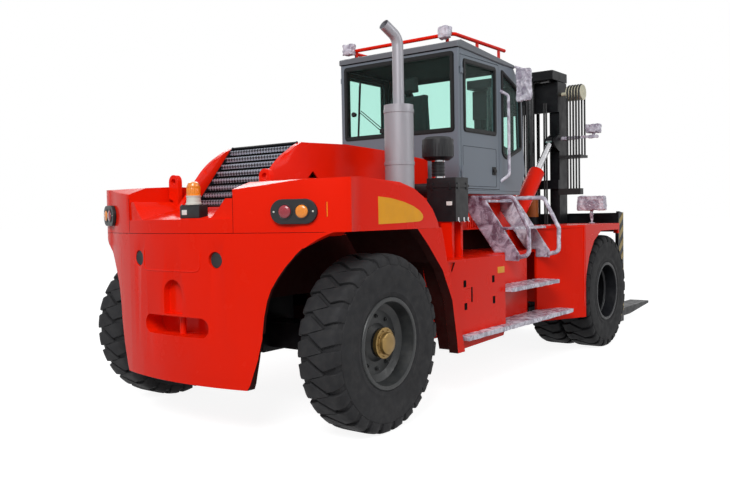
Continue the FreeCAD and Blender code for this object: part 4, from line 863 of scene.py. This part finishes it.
def ease_corner(bm):
    """Turns the body's slight crease, where the rear corner meets the side, into a curve."""
    for step in (0.2, 0.4, 0.6, 0.8, 1.0):
        geometry = list(bm.verts) + list(bm.edges) + list(bm.faces)
        bmesh.ops.bisect_plane(bm, geom=geometry, plane_co=at(SHARP_PLAN[-2][0] + BEND_REACH * step, 0, 0),
                               plane_no=(1, 0, 0), dist=0.00001)
    for vert in bm.verts:
        x, y = vert.co.x * 1000 + MIDDLE_X, abs(vert.co.y) * 1000
        if not (bend_first.x - 60 <= x <= bend_last.x + 1 and y > 1250):
            continue
        along = 0.0
        best = None
        for first, second in zip(SHARP_PLAN[BEND_START:], SHARP_PLAN[BEND_START + 1:]):
            start, end = Vector(first), Vector(second)
            length = (end - start).length
            way = (end - start) / length
            reach = min(max((Vector((x, y)) - start).dot(way), 0), length)
            gap = (start + way * reach - Vector((x, y))).length
            if best is None or gap < best[0]:
                best = (gap, along + reach, start + way * reach)
            along += length
        if best[0] < 60 and best[1] <= bend_length:
            move = bend_place(best[1] / bend_length) - best[2]
            vert.co.x += move.x / 1000
            vert.co.y += math.copysign(move.y / 1000, vert.co.y)


def shape_fender(bm):
    soften_top(bm)
    ease_corner(bm)


def round_hood_outline(bm):
    """Rounds the corner of the hood's two cheeks, beside the grille, in side view."""
    chosen = []
    for edge in bm.edges:
        middle = (edge.verts[0].co + edge.verts[1].co) / 2
        way = edge.verts[1].co - edge.verts[0].co
        x, z = middle.x * 1000 + MIDDLE_X, middle.z * 1000
        if abs(way.y) > 0.02 and abs(way.x) + abs(way.z) < 0.001 and abs(x + 181) < 6 and abs(z - 2142) < 6:
            chosen.append(edge)
    bmesh.ops.bevel(bm, geom=chosen, offset=0.1, segments=7, profile=0.5, affect="EDGES", clamp_overlap=True)


CHANGES = {"rear_fenders": shape_fender, "counterweight": ease_corner, "hood": round_hood_outline}


def rear_spot(y, z, out=0.0):
    """A place on the rear face of the body at a distance from the middle, moved outward."""
    size = abs(y)
    for (x1, y1), (x2, y2) in zip(REAR_PLAN, REAR_PLAN[1:]):
        if size <= y2 and y2 > y1:
            x = x1 + (x2 - x1) * max(size - y1, 0) / (y2 - y1)
            normal = Vector((-(y2 - y1), x2 - x1, 0)).normalized()
            return (x + normal.x * out, math.copysign(size + normal.y * out, y), z)
    return None


def add_sheet_on_rear(bm, y_line, low, high, out):
    """A thin plate bent round the rear corner, between two heights."""
    rows = []
    for y in y_line:
        rows.append([bm.verts.new(at(*rear_spot(y, z, lift))) for z, lift in
                     ((low, -0.5), (low, out), (high, out), (high, -0.5))])
    for row, following in zip(rows, rows[1:]):
        for index in range(3):
            bm.faces.new((row[index], row[index + 1], following[index + 1], following[index]))
    bm.faces.new(rows[0])
    bm.faces.new(rows[-1][::-1])


# Body shells

POCKET_DEPTH_Y = 1.318


def in_rear_arch(middle, normal):
    """True inside the rear wheel arches, where the paint is darkened as painted shade and is dusty."""
    way = Vector((middle.x, 0, middle.z - AXLE_Z))
    inward = -(normal.x * way.x + normal.z * way.z) / max(way.length, 1)
    return way.length < 1350 and middle.z < 1640 and (inward > 0.35 or (abs(middle.y) < 1040 and middle.x < 740 and
                                                      middle.z < 1500 and middle.x > -640))


# Inside the front wheel arches, where the red is darkened as painted shade.
def in_front_arch(middle, normal):
    way = Vector((middle.x - FRONT_AXLE_X, 0, middle.z - AXLE_Z))
    inward = -(normal.x * way.x + normal.z * way.z) / max(way.length, 1)
    return way.length < 1150 and inward > 0.35


def build_shells():
    # Faces that take the dark red of painted shade, with dust: in the wheel arches, undersides and inner faces.
    arches = {"counterweight": lambda middle, normal: abs(middle.y) > 560 and
              (normal.x > 0.25 or (abs(normal.y) > 0.7 and abs(middle.y) < 1250 and middle.z < 1500)), "rear_fenders": in_rear_arch, "rear_deck": in_rear_arch,
              "side_boxes": in_rear_arch, "front_fenders": in_front_arch,
              "chassis_frame": lambda middle, normal: middle.x < 900 or normal.z < -0.3 or
              (abs(normal.y) > 0.9 and abs(abs(middle.y) - 400) < 2),
              "cab_support": lambda middle, normal: normal.z < -0.3}
    for node, surface, width in (
            ("counterweight", RED, 9), ("rear_fenders", RED, 5), ("rear_deck", RED, 6), ("hood", RED, 7),
            ("front_fenders", RED, 5), ("lifting_eyes", RED, 8), ("cab_support", RED, 4), ("roof_rack", RED, 3),
            ("chassis_frame", RED, 3), ("tilt_barrels", RED, 4), ("outer_mast", BLACK, 4),
            ("inner_mast", BLACK, 4), ("carriage", BLACK, 4), ("fork_left", BLACK, 6), ("fork_right", BLACK, 6),
            ("console", PLASTIC, 6), ("tail_lamps", PLASTIC, 6), ("exhaust", STEEL, 2)):
        piece = rounded(node, surface, width, change=CHANGES.get(node))
        if node in arches:
            second_finish(piece, ARCH_SHADE_AND_DUST, arches[node])
    boxes = rounded("side_boxes", RED, 5, change=close_pockets)
    # The side boxes' rear-facing faces take the painted shade too.
    second_finish(boxes, ARCH_SHADE_AND_DUST, lambda middle, normal: in_rear_arch(middle, normal) or
                  (normal.x < -0.3 and abs(middle.y) < 1390))
    cleaner = rounded("air_cleaner", PLASTIC, 5)
    second_finish(cleaner, RED, lambda middle, normal: middle.z < 1599)
    barrels = rounded("lift_barrels", BLACK, 4)
    second_finish(barrels, PRIMER, lambda middle, normal: middle.z > 1500)
    rods = rounded("tilt_rods", CHROME, 2)
    second_finish(rods, BLACK, lambda middle, normal: middle.x > 4790)


def build_cab_shells():
    """Painted outside, with the inner faces darkened as painted shade."""
    def shaded_inside(name, width, surface, inside):
        piece = rounded(name, surface, width)
        second_finish(piece, CAB_INSIDE_SHADE, inside)

    shaded_inside("cab_roof", 10, ROOF_GREY, lambda middle, normal: normal.z < -0.5 and abs(middle.y) < 700)
    shaded_inside("cab_rear_wall", 6, GREY, lambda middle, normal: normal.x > 0.5)
    shaded_inside("cab_floor", 5, GREY, lambda middle, normal: normal.z > 0.5 or normal.x < -0.4)
    for label, side in SIDES:
        shaded_inside("cab_side_" + label, 4, GREY,
              lambda middle, normal, side=side: normal.y * side < -0.5 and abs(middle.y) < 745)
        shaded_inside("cab_door_" + label, 5, GREY,
              lambda middle, normal, side=side: normal.y * side < -0.5 and abs(middle.y) < 745)


def close_pockets(bm):
    """The shallow pockets are shown as the upright slots that are set in below."""
    for vert in bm.verts:
        if abs(abs(vert.co.y) - POCKET_DEPTH_Y) < 0.0005:
            vert.co.y = math.copysign(1.33, vert.co.y)


# Rear body: lamps, plates, beacon and grille

LAMP_START = Vector((-772, 926, 1708))
LAMP_END = Vector((-642, 1253, 1708))
LAMP_WAY = (LAMP_END - LAMP_START).normalized()
LAMP_OUT = Vector((-LAMP_WAY.y, LAMP_WAY.x, 0))


def lamp_spot(side, along, up, out):
    place = LAMP_START + LAMP_WAY * along + LAMP_OUT * out + Vector((0, 0, up))
    return (place.x, side * place.y, place.z)


def build_tail_lamps():
    for label, side in SIDES:
        outward = (LAMP_OUT.x, side * LAMP_OUT.y, 0)
        for name, along, surface in (("red", 112, RED_LENS), ("amber", 240, AMBER)):
            lens = bmesh.new()
            add_lathe(lens, at(*lamp_spot(side, along, 0, 29)), outward,
                      [(47, 0), (47, 5), (44, 10), (36, 14), (22, 17), (0, 18)], steps=40)
            piece_of(f"tail_lens_{name}_{label}", lens, surface, "chassis")
        trim = bmesh.new()
        for along in (112, 240):
            add_lathe(trim, at(*lamp_spot(side, along, 0, 28)), outward,
                      [(48, 0), (48, 6), (52, 8), (57, 7), (58, 0)], steps=40)
        piece_of(f"tail_lens_rings_{label}", trim, PLASTIC, "chassis")
        screws = bmesh.new()
        for along in (28, 324):
            add_lathe(screws, at(*lamp_spot(side, along, 0, 29)), outward, [(7, 0), (7, 3), (3, 4), (0, 4)], steps=12)
        piece_of(f"tail_lamp_screws_{label}", screws, PALE, "chassis")


def build_plates():
    decal = [(-126, 1812), (39, 1800), (215, 1772), (342, 1740), (436, 1702), (476, 1672), (484, 1650), (468, 1628),
             (424, 1616), (139, 1608), (-126, 1604)]
    for label, side in SIDES:
        plate = bmesh.new()
        y_line = [side * (1296 + 82 * k / 12) for k in range(13)]
        add_sheet_on_rear(plate, y_line, 1664, 1777, 1.5)
        piece_of(f"corner_plate_edge_{label}", plate, GASKET, "chassis", smooth=20)
        face = bmesh.new()
        y_line = [side * (1301 + 73 * k / 12) for k in range(13)]
        add_sheet_on_rear(face, y_line, 1669, 1772, 2.5)
        piece_of(f"corner_plate_{label}", face, YELLOW, "chassis", smooth=20)
        blade = bmesh.new()
        add_prism(blade, [(x, side * 1399.5, z) for x, z in decal], (0, side * 2.5, 0))
        piece_of(f"side_decal_{label}", blade, YELLOW, "chassis", smooth=20)
        sticker = bmesh.new()
        add_prism(sticker, [(1893, side * 1329.5, 1094), (2030, side * 1329.5, 1094), (2030, side * 1329.5, 1154),
                            (1893, side * 1329.5, 1154)], (0, side * 2, 0), bevel=1)
        piece_of(f"side_sticker_{label}", sticker, YELLOW, "chassis", smooth=20)
        # The slots' insides are flat dark boxes of painted shade.
        slots = bmesh.new()
        for x, low, high in ((1262, 1012, 1074), (1801, 1014, 1080), (1275, 806, 868), (1811, 812, 882)):
            add_box(slots, (x - 24, side * 1326, low), (x + 24, side * 1331.5, high), bevel=12, segments=3)
        add_box(slots, (1374, side * 1326, 868), (1400, side * 1331.5, 1004), bevel=8, segments=3)
        piece_of(f"side_slots_{label}", slots, SHADE, "chassis")


def build_beacon():
    x = -827
    middle = at(x, -150, 0)
    base = bmesh.new()
    add_box(base, (-872, -262, 1674), (-784, -38, 1772), bevel=5)
    add_box(base, (-868, -257, 1772), (-788, -43, 1777), bevel=2)
    piece_of("beacon_box", base, PLASTIC, "chassis")
    label = bmesh.new()
    add_box(label, (-873.5, -120, 1700), (-871, -62, 1738), bevel=1)
    piece_of("beacon_label", label, SIGN_WHITE, "chassis")
    foot = bmesh.new()
    add_lathe(foot, middle, (0, 0, 1), [(0, 1776), (62, 1776), (62, 1788), (56, 1794), (54, 1832), (58, 1838),
                                        (58, 1846), (0, 1847)], steps=36)
    piece_of("beacon_foot", foot, PALE, "chassis")
    dome = bmesh.new()
    add_lathe(dome, middle, (0, 0, 1), [(0, 1846), (54, 1846), (54, 1852), (50, 1856), (50, 1900), (48, 1905),
                                        (50, 1910), (49, 1925), (40, 1944), (22, 1954), (0, 1956)], steps=36)
    for index in range(18):
        angle = 2 * math.pi * index / 18
        spot = (x + 50 * math.cos(angle), -150 + 50 * math.sin(angle))
        add_bar(dome, (*spot, 1856), (*spot, 1918), 4, 4)
    piece_of("beacon_dome", dome, AMBER, "chassis")
    screws = bmesh.new()
    for x_at in (-862, -794):
        for y_at in (-250, -50):
            add_lathe(screws, at(x_at, y_at, 1777), (0, 0, 1), [(6, 0), (6, 3), (0, 4)], steps=8)
    piece_of("beacon_screws", screws, CHROME, "chassis")
    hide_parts("beacon")


def build_grille():
    """The corrugated punched sheet between the hood's cheeks, in its black frame."""
    foot = Vector((-340, 0, 1765.4))
    head = Vector((110, 0, 2300))
    way = (head - foot).normalized()
    out = Vector((-way.z, 0, way.x))
    length = (head - foot).length
    waves = 8
    count = waves * 12
    bm = bmesh.new()
    rows = []
    for index in range(count + 1):
        along = 16 + (length - 32) * index / count
        rise = 2 + 16 * math.cos(2 * math.pi * (index / count * waves - 0.5))
        place = foot + way * along + out * rise
        rows.append([bm.verts.new(at(place.x, y, place.z)) for y in (-386, 386)])
    for first, second in zip(rows, rows[1:]):
        bm.faces.new((first[0], second[0], second[1], first[1]))
    sheet = piece_of("grille_sheet", bm, GRILLE, "chassis", smooth=70)
    # The sheet's valleys are painted shade.
    second_finish(sheet, SHADE, lambda middle, normal: (middle - foot).dot(out) < -6)
    frame_bars = bmesh.new()
    for along in (9, length - 9):
        middle = foot + way * along + out * -4
        add_bar(frame_bars, (middle.x, -399, middle.z), (middle.x, 399, middle.z), 30, 18, bevel=3, spin=50)
    for y in (-391, 391):
        low = foot + out * -4
        high = head + out * -4
        add_bar(frame_bars, (low.x + 14, y, low.z + 12), (high.x, y, high.z), 14, 40, bevel=3)
    piece_of("grille_frame", frame_bars, BLACK, "chassis")
    # A dark plate of painted shade behind the sheet.
    back = bmesh.new()
    add_prism(back, [(-300, -398, 1766), (-226, -398, 1766), (190, -398, 2296), (128, -398, 2296)], (0, 796, 0))
    piece_of("grille_backing_painted_shade", back, SHADE, "chassis")
    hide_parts("radiator_grille")


def surface_place(tree, y, z, out):
    """The place on the counterweight's rear face at a height and a distance from the middle."""
    hit, normal = tree.ray_cast(at(-1500, y, z), Vector((1, 0, 0)))[:2]
    place = hit + normal * (out / 1000)
    return (place.x * 1000 + MIDDLE_X, place.y * 1000, place.z * 1000)


def build_rear_trim():
    """Rubber plugs, the tow pin, the bare panel of the counterweight and its edge over the wheel."""
    pin = bmesh.new()
    add_lathe(pin, at(-837, 0, 0), (0, 0, 1), [(0, 766), (27, 766), (27, 914), (0, 914)], steps=32)
    piece_of("tow_pin", pin, RED, "chassis")
    plugs = bmesh.new()
    for side in (1, -1):
        add_lathe(plugs, at(-842, side * 454, 1358), (-1, 0, 0), [(60, 0), (60, 38), (56, 43), (50, 40), (0, 41)],
                  steps=40)
    piece_of("counterweight_plugs", plugs, PLASTIC, "chassis")
    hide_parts("rear_fittings")
    source = frame["nodes"]["counterweight"].data
    tree = BVHTree.FromPolygons([vert.co for vert in source.vertices], [face.vertices for face in source.polygons])
    path = [(372, 1424), (372, 1350), (372, 1284)] + [(340 - 54 * k, 1268) for k in range(12)] + \
        [(-306, 1284), (-306, 1350), (-306, 1424)]
    tube("panel_lip", [surface_place(tree, y, z, -1) for y, z in path], 5.5, RED, "chassis")
    seams = bmesh.new()
    add_sheet_on_rear(seams, [1320 - 40 * k for k in range(67)], 1556.4, 1559.4, 0.7)
    for side in (1, -1):
        add_sheet_on_rear(seams, [side * 618.6, side * 620, side * 621.4], 1558, 1842, 0.7)
    piece_of("body_seams", seams, SHADE, "chassis", smooth=20)
    # Where the wall over the wheel ends: distance from the middle at each height
    wall_edge = [(822, 838), (943, 852), (1064, 878), (1147, 909), (1232, 959), (1313, 1016), (1399, 1090),
                 (1452, 1152)]
    for label, side in SIDES:
        bm = bmesh.new()
        columns = 9
        grids = []
        for out in (0.5, -42.0):
            rows = []
            for low, high in zip(wall_edge, wall_edge[1:]):
                for step in range(4 if high != wall_edge[-1] else 5):
                    share = step / 4
                    z = low[0] + (high[0] - low[0]) * share
                    end = low[1] + (high[1] - low[1]) * share
                    rows.append([bm.verts.new(at(*rear_spot(side * (826 + (end - 826) * k / columns), z, out)))
                                 for k in range(columns + 1)])
            grids.append(rows)
        outer, inner = grids
        for rows in grids:
            for first, second in zip(rows, rows[1:]):
                for k in range(columns):
                    bm.faces.new((first[k], first[k + 1], second[k + 1], second[k]))
        for k in range(columns):
            bm.faces.new((outer[0][k], outer[0][k + 1], inner[0][k + 1], inner[0][k]))
            bm.faces.new((outer[-1][k], outer[-1][k + 1], inner[-1][k + 1], inner[-1][k]))
        for near in range(len(outer) - 1):
            for k in (0, columns):
                bm.faces.new((outer[near][k], outer[near + 1][k], inner[near + 1][k], inner[near][k]))
        wall = piece_of(f"counterweight_wall_{label}", bm, RED, "chassis")
        # The wall's inner faces take the dark red of painted shade, with dust.
        second_finish(wall, ARCH_SHADE_AND_DUST, lambda middle, normal: normal.x > -0.1)


# Cab: window rubbers, wiper, latches and rails

CAB_SIDE = 770.0
DOOR_WINDOW = (2268.0, 2945.0, 2545.0, 3260.0)
QUARTER_WINDOW = ((3110, 2345), (3200, 2290), (3580, 2420), (3555, 3090), (3110, 3262))
REAR_WINDOW = (-700.0, 700.0, 2540.0, 3330.0)
CAB_REAR = 2150.0
LIP = 22.0


def rectangle(first_low, first_high, second_low, second_high, axis, value):
    corners = ((first_low, second_low), (first_high, second_low), (first_high, second_high), (first_low, second_high))
    return [(value, a, b) if axis == "x" else (a, value, b) for a, b in corners]


def gasket(name, outline, shift, body, width=48.0, radius=46.0):
    bm = bmesh.new()
    line = rounded_corners(outline, radius)
    add_band(bm, line, width, shift)
    add_band(bm, moved_inward(line, 9), width - 18, Vector(shift) * -0.35)
    return piece_of(name, bm, GASKET, body, smooth=50)


def outline_out(points, reach):
    return [tuple(p) for p in moved_inward(points, -reach)]


def build_gaskets():
    low, high, bottom, top = REAR_WINDOW
    gasket("rear_window_rubber", rectangle(low - LIP, high + LIP, bottom - LIP, top + LIP - 2, "x", CAB_REAR - 5),
           (16, 0, 0), "chassis")
    for label, side in SIDES:
        rear, front, bottom, top = DOOR_WINDOW
        face = side * (CAB_SIDE + 5)
        gasket(f"door_window_rubber_{label}",
               rectangle(rear - LIP, front + LIP, bottom - LIP, top + LIP, "y", face),
               (0, -side * 18, 0), f"door_{label}")
        quarter = outline_out([(x, face, z) for x, z in QUARTER_WINDOW], LIP - 4)
        gasket(f"quarter_window_rubber_{label}", quarter, (0, -side * 18, 0), "chassis",
               width=44)
    bars = bmesh.new()
    for y in (-712, 712):
        add_bar(bars, (3636, y, 2330), (3594, y, 3112), 40, 26, bevel=5)
        add_bar(bars, (3594, y, 3108), (3386, y, 3326), 40, 26, bevel=5)
    for x, z in ((3636, 2350), (3398, 3310)):
        add_bar(bars, (x, -725, z), (x, 725, z), 26, 36, bevel=5)
    piece_of("front_window_rubber", bars, GASKET, "chassis")


def build_wiper():
    arm = bmesh.new()
    add_bar(arm, (2132, 480, 3157), (2132, 518, 2562), 10, 22, bevel=3)
    add_bar(arm, (2124, 486, 3120), (2124, 514, 2600), 12, 8, bevel=2)
    add_bar(arm, (2128, 493, 2829), (2134, 192, 2588), 8, 8, bevel=2)
    add_bar(arm, (2128, 474, 2843), (2134, 173, 2609), 8, 8, bevel=2)
    add_box(arm, (2120, 150, 2570), (2150, 215, 2622), bevel=8)
    add_lathe(arm, at(2150, 580, 2810), (-1, 0, 0), [(22, -12), (22, 8), (28, 12), (28, 26), (22, 32), (0, 33)],
              steps=28)
    piece_of("rear_wiper", arm, GASKET, "chassis")


def build_door_details():
    for label, side in SIDES:
        body = f"door_{label}"
        face = side * CAB_SIDE
        latch = bmesh.new()
        add_box(latch, (2862, face - side * 2, 2092), (2952, face + side * 7, 2182), bevel=4)
        add_box(latch, (2874, face + side * 6, 2120), (2940, face + side * 22, 2156), bevel=7)
        add_lathe(latch, at(2907, side * (CAB_SIDE + 6), 2108), (0, side, 0), [(9, 0), (9, 5), (0, 6)], steps=20)
        piece_of(f"door_latch_{label}", latch, GASKET, body)
        line = bmesh.new()
        outline = rectangle(2228, 2960, 1960, 2380, "y", face)
        add_band(line, rounded_corners(outline, 18), 3.5, (0, side * 1.2, 0))
        piece_of(f"door_panel_line_{label}", line, SHADE, body, smooth=0)
        seal = bmesh.new()
        outline = rectangle(2183, 3023, 1934, 3316, "y", side * (CAB_SIDE - 12))
        add_band(seal, rounded_corners(outline, 30), 9, (0, -side * 16, 0))
        piece_of(f"door_seal_{label}", seal, GASKET, "chassis", smooth=0)
        rail = bent_tube(f"grab_rail_{label}",
                         [(3069, side * 762, 3042), (3153, side * 830, 2990), (3153, side * 830, 2100),
                          (3069, side * 762, 2025)], 52, 17.5, FILM, "chassis")
        rail.data.use_fill_caps = True
        visor = bmesh.new()
        add_bar(visor, (2170, side * 782, 3392), (3010, side * 782, 3350), 8, 12, bevel=3)
        add_bar(visor, (3010, side * 782, 3350), (3380, side * 782, 3342), 8, 12, bevel=3)
        piece_of(f"roof_gutter_{label}", visor, ROOF_GREY, "chassis")


def swell(obj, voxel, cap, rest_z=None):
    """Fills a closed form out by Cloth with pressure, no point moving further than cap, and applies it."""
    scene = bpy.context.scene
    scene.collection.objects.link(obj)
    remesh = obj.modifiers.new("skin", "REMESH")
    remesh.mode = "VOXEL"
    remesh.voxel_size = voxel / 1000
    graph = bpy.context.evaluated_depsgraph_get()
    mesh = bpy.data.meshes.new_from_object(obj.evaluated_get(graph))
    obj.modifiers.clear()
    obj.data = mesh
    start = [vert.co.copy() for vert in mesh.vertices]
    cloth = obj.modifiers.new("fill", "CLOTH")
    cloth.settings.use_pressure = True
    cloth.settings.uniform_pressure_force = 4
    cloth.settings.effector_weights.gravity = 0
    cloth.settings.quality = 4
    cloth.point_cache.frame_start = 1
    cloth.point_cache.frame_end = 20
    for number in range(1, 21):
        scene.frame_set(number)
    graph = bpy.context.evaluated_depsgraph_get()
    swollen = obj.evaluated_get(graph).data
    moved = [vert.co.copy() for vert in swollen.vertices]
    obj.modifiers.clear()
    scene.frame_set(1)
    for vert, first, last in zip(mesh.vertices, start, moved):
        step = last - first
        if step.length > cap / 1000:
            step *= cap / 1000 / step.length
        vert.co = first + step
        if rest_z is not None:
            vert.co.z = max(vert.co.z, rest_z / 1000)
    scene.collection.objects.unlink(obj)


def press_channels(obj, lines, chosen, depth, width):
    """Sewn channels: points near a line, given by a plane's value of place, are pulled in."""
    mesh = obj.data
    for vert in mesh.vertices:
        middle = vert.co * 1000 + Vector((MIDDLE_X, 0, 0))
        for value, level in lines:
            offset = abs(value(middle) - level)
            if offset < width * 2.5 and chosen(middle, vert.normal):
                vert.co -= vert.normal * (depth / 1000) * math.exp(-(offset / width) ** 2)


def cushion(name, outline, y_low, y_high, voxel, cap, lines, chosen, rest_z=None, inset=10.0):
    """A padded piece from its side outline in millimetres, made smaller, rounded and then filled out."""
    bm = bmesh.new()
    side = moved_inward([(x, y_low, z) for x, z in outline], inset)
    if (side[0] - Vector((outline[0][0], y_low, outline[0][1]))).length < 1:
        side = [Vector((x, y_low, z)) for x, z in outline]
    add_prism(bm, [(p.x, y_low + inset, p.z) for p in side], (0, y_high - y_low - 2 * inset, 0), bevel=26)
    bmesh.ops.recalc_face_normals(bm, faces=bm.faces)
    mesh = bpy.data.meshes.new(name)
    bm.to_mesh(mesh)
    bm.free()
    obj = bpy.data.objects.new(name, mesh)
    swell(obj, voxel, cap, rest_z)
    press_channels(obj, lines, chosen, 7, 9)
    finish_piece(obj, SEAT, "chassis", smooth=0)
    obj.data.shade_smooth()
    smooth = obj.modifiers.new("smooth", "SUBSURF")
    smooth.levels = smooth.render_levels = 1
    return obj


def build_seat():
    x = CAB_REAR
    pan = cushion("seat_cushion", [(x + 280, 2252), (x + 800, 2252), (x + 800, 2362), (x + 760, 2382),
                                   (x + 300, 2376)], -260, 260, 6, 12,
                  [(lambda m: m.y, -150), (lambda m: m.y, 150), (lambda m: m.x, x + 470), (lambda m: m.x, x + 620)],
                  lambda m, n: n.z > 0.6, rest_z=2252)
    cushion("seat_back", [(x + 234, 2372), (x + 350, 2384), (x + 292, 2996), (x + 186, 2996)], -250, 250, 6, 12,
            [(lambda m: m.y, -150), (lambda m: m.y, 150), (lambda m: m.z, 2560), (lambda m: m.z, 2780)],
            lambda m, n: n.x > 0.6)
    cushion("seat_headrest", [(x + 184, 3004), (x + 276, 3004), (x + 260, 3196), (x + 174, 3196)], -138, 138, 5, 9,
            [(lambda m: m.z, 3100)], lambda m, n: n.x > 0.6)
    base = bmesh.new()
    for index in range(6):
        low = 1926 + index * 54
        inset = 0 if index % 2 == 0 else 12
        add_box(base, (x + 352 + inset, -226 + inset, low), (x + 748 - inset, 226 - inset, low + 54), bevel=8)
    for y in (-48, 48):
        add_bar(base, (x + 236, y, 2960), (x + 226, y, 3040), 12, 12, bevel=4)
    piece_of("seat_base", base, PLASTIC, "chassis")
    arms = bmesh.new()
    for y in (-240, 240):
        add_bar(arms, (x + 330, y * 0.98, 2560), (x + 560, y * 0.98, 2585), 46, 50, bevel=18)
    piece_of("seat_armrests", arms, PLASTIC, "chassis")
    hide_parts("seat")


# Engine side: air cleaner and exhaust

def build_cleaner_details():
    clips = bmesh.new()
    for x in (1440, 1600):
        add_box(clips, (x - 14, -1174, 1900), (x + 14, -1164, 1962), bevel=4)
    for y in (-1100, -910):
        add_box(clips, (1393, y - 14, 1900), (1404, y + 14, 1962), bevel=4)
    piece_of("air_cleaner_clips", clips, PLASTIC, "chassis")
    catches = bmesh.new()
    for x in (1440, 1540, 1618):
        add_box(catches, (x - 12, -1172, 1606), (x + 12, -1160, 1640), bevel=4)
        add_bar(catches, (x, -1168, 1612), (x + 8, -1176, 1596), 16, 8, bevel=2)
    piece_of("air_cleaner_catches", catches, CHROME, "chassis")
    bands = bmesh.new()
    neck = at(1497.5, -920, 0)
    for low in (2014, 2168):
        add_lathe(bands, neck, (0, 0, 1), [(59, low), (63, low), (63, low + 12), (59, low + 12)], steps=40)
        add_box(bands, (1497.5 - 12, -990, low - 3), (1497.5 + 12, -974, low + 15), bevel=3)
    piece_of("air_cleaner_clamps", bands, CHROME, "chassis")
    ribs = bmesh.new()
    for low in (2052, 2082, 2112, 2142):
        add_lathe(ribs, neck, (0, 0, 1), [(59, low - 9), (64, low - 4), (64, low + 4), (59, low + 9)], steps=40)
    for index in range(30):
        angle = 2 * math.pi * index / 30
        way = (math.cos(angle), math.sin(angle))
        add_bar(ribs, (1497.5 + 146 * way[0], -920 + 146 * way[1], 2215),
                (1497.5 + 146 * way[0], -920 + 146 * way[1], 2330), 7, 7, bevel=2)
    piece_of("air_cleaner_ribs", ribs, PLASTIC, "chassis")
    label = bmesh.new()
    add_box(label, (1401, -1126, 1752), (1403, -1064, 1788), bevel=0.5)
    piece_of("air_cleaner_label", label, SIGN_WHITE, "chassis")


def build_exhaust_details():
    seam = bmesh.new()
    centre = (890, -900)
    for angle in (math.radians(232),):
        x = centre[0] + 130.5 * math.cos(angle)
        y = centre[1] + 130.5 * math.sin(angle)
        add_bar(seam, (x, y, 1600), (x, y, 2622), 5, 5, bevel=1.5)
    piece_of("muffler_seam", seam, STEEL, "chassis")


# Mast and carriage

def build_carriage_stripes():
    for label, side in SIDES:
        stripes = bmesh.new()
        low_x, high_x = 5372, 5543
        for index in range(8):
            z = 236 + index * 176
            add_prism(stripes, [(low_x, side * 1299.5, z), (high_x, side * 1299.5, z + 120),
                                (high_x, side * 1299.5, min(z + 208, 1660)),
                                (low_x, side * 1299.5, min(z + 88, 1660))], (0, side * 2, 0))
        piece_of(f"carriage_stripes_{label}", stripes, GOLD_STRIPE, "carriage", smooth=0)


def build_lift_heads():
    """The orange heads of the lift barrels, and the hoses that run up beside them."""
    heads = bmesh.new()
    for side in (1, -1):
        add_lathe(heads, at(4860, side * 290, 0), (0, 0, 1), [(94, 1610), (97.5, 1613), (97.5, 1884), (94, 1887)],
                  steps=48)
    piece_of("lift_heads", heads, PRIMER, "mast")
    for index, y in enumerate((-500, -470, -186, -156, 156, 186)):
        points = [(4905, y, 700), (4905, y, 1500), (4905 - 6 * index, y, 2400), (4905, y, 3000), (4900, y, 3120)]
        tube(f"mast_line_{index}", points, 13, HOSE, "mast")


def build_fender_tabs():
    for label, side in SIDES:
        tab = bmesh.new()
        add_box(tab, (4950, side * 1372, 1392), (4988, side * 1438, 1470), bevel=10, segments=3)
        piece_of(f"fender_tab_{label}", tab, RED, "chassis")


def build_films():
    ladders = wrapped("ladders", FILM, 30, 4)
    plates = [(2414, 2426), (3194, 3206)]
    second_finish(ladders, THIN_FILM, lambda middle, normal: abs(normal.x) > 0.6 and
                  any(low - 7 < middle.x < high + 7 for low, high in plates))
    wrapped("steps", FILM, 30, 6)
    for node in ("headlamps", "mast_lamps", "mirrors", "roof_lamps"):
        wrapped(node, FILM, 16, 16, soften=3, scale=10)


build_tyres()
build_rear_wheel_details()
build_front_wheel_details()
build_shells()
build_tail_lamps()
build_plates()
build_beacon()
build_grille()
build_rear_trim()
build_cab_shells()
build_gaskets()
build_wiper()
build_door_details()
build_seat()
build_cleaner_details()
build_exhaust_details()
build_carriage_stripes()
build_lift_heads()
build_fender_tabs()
build_films()
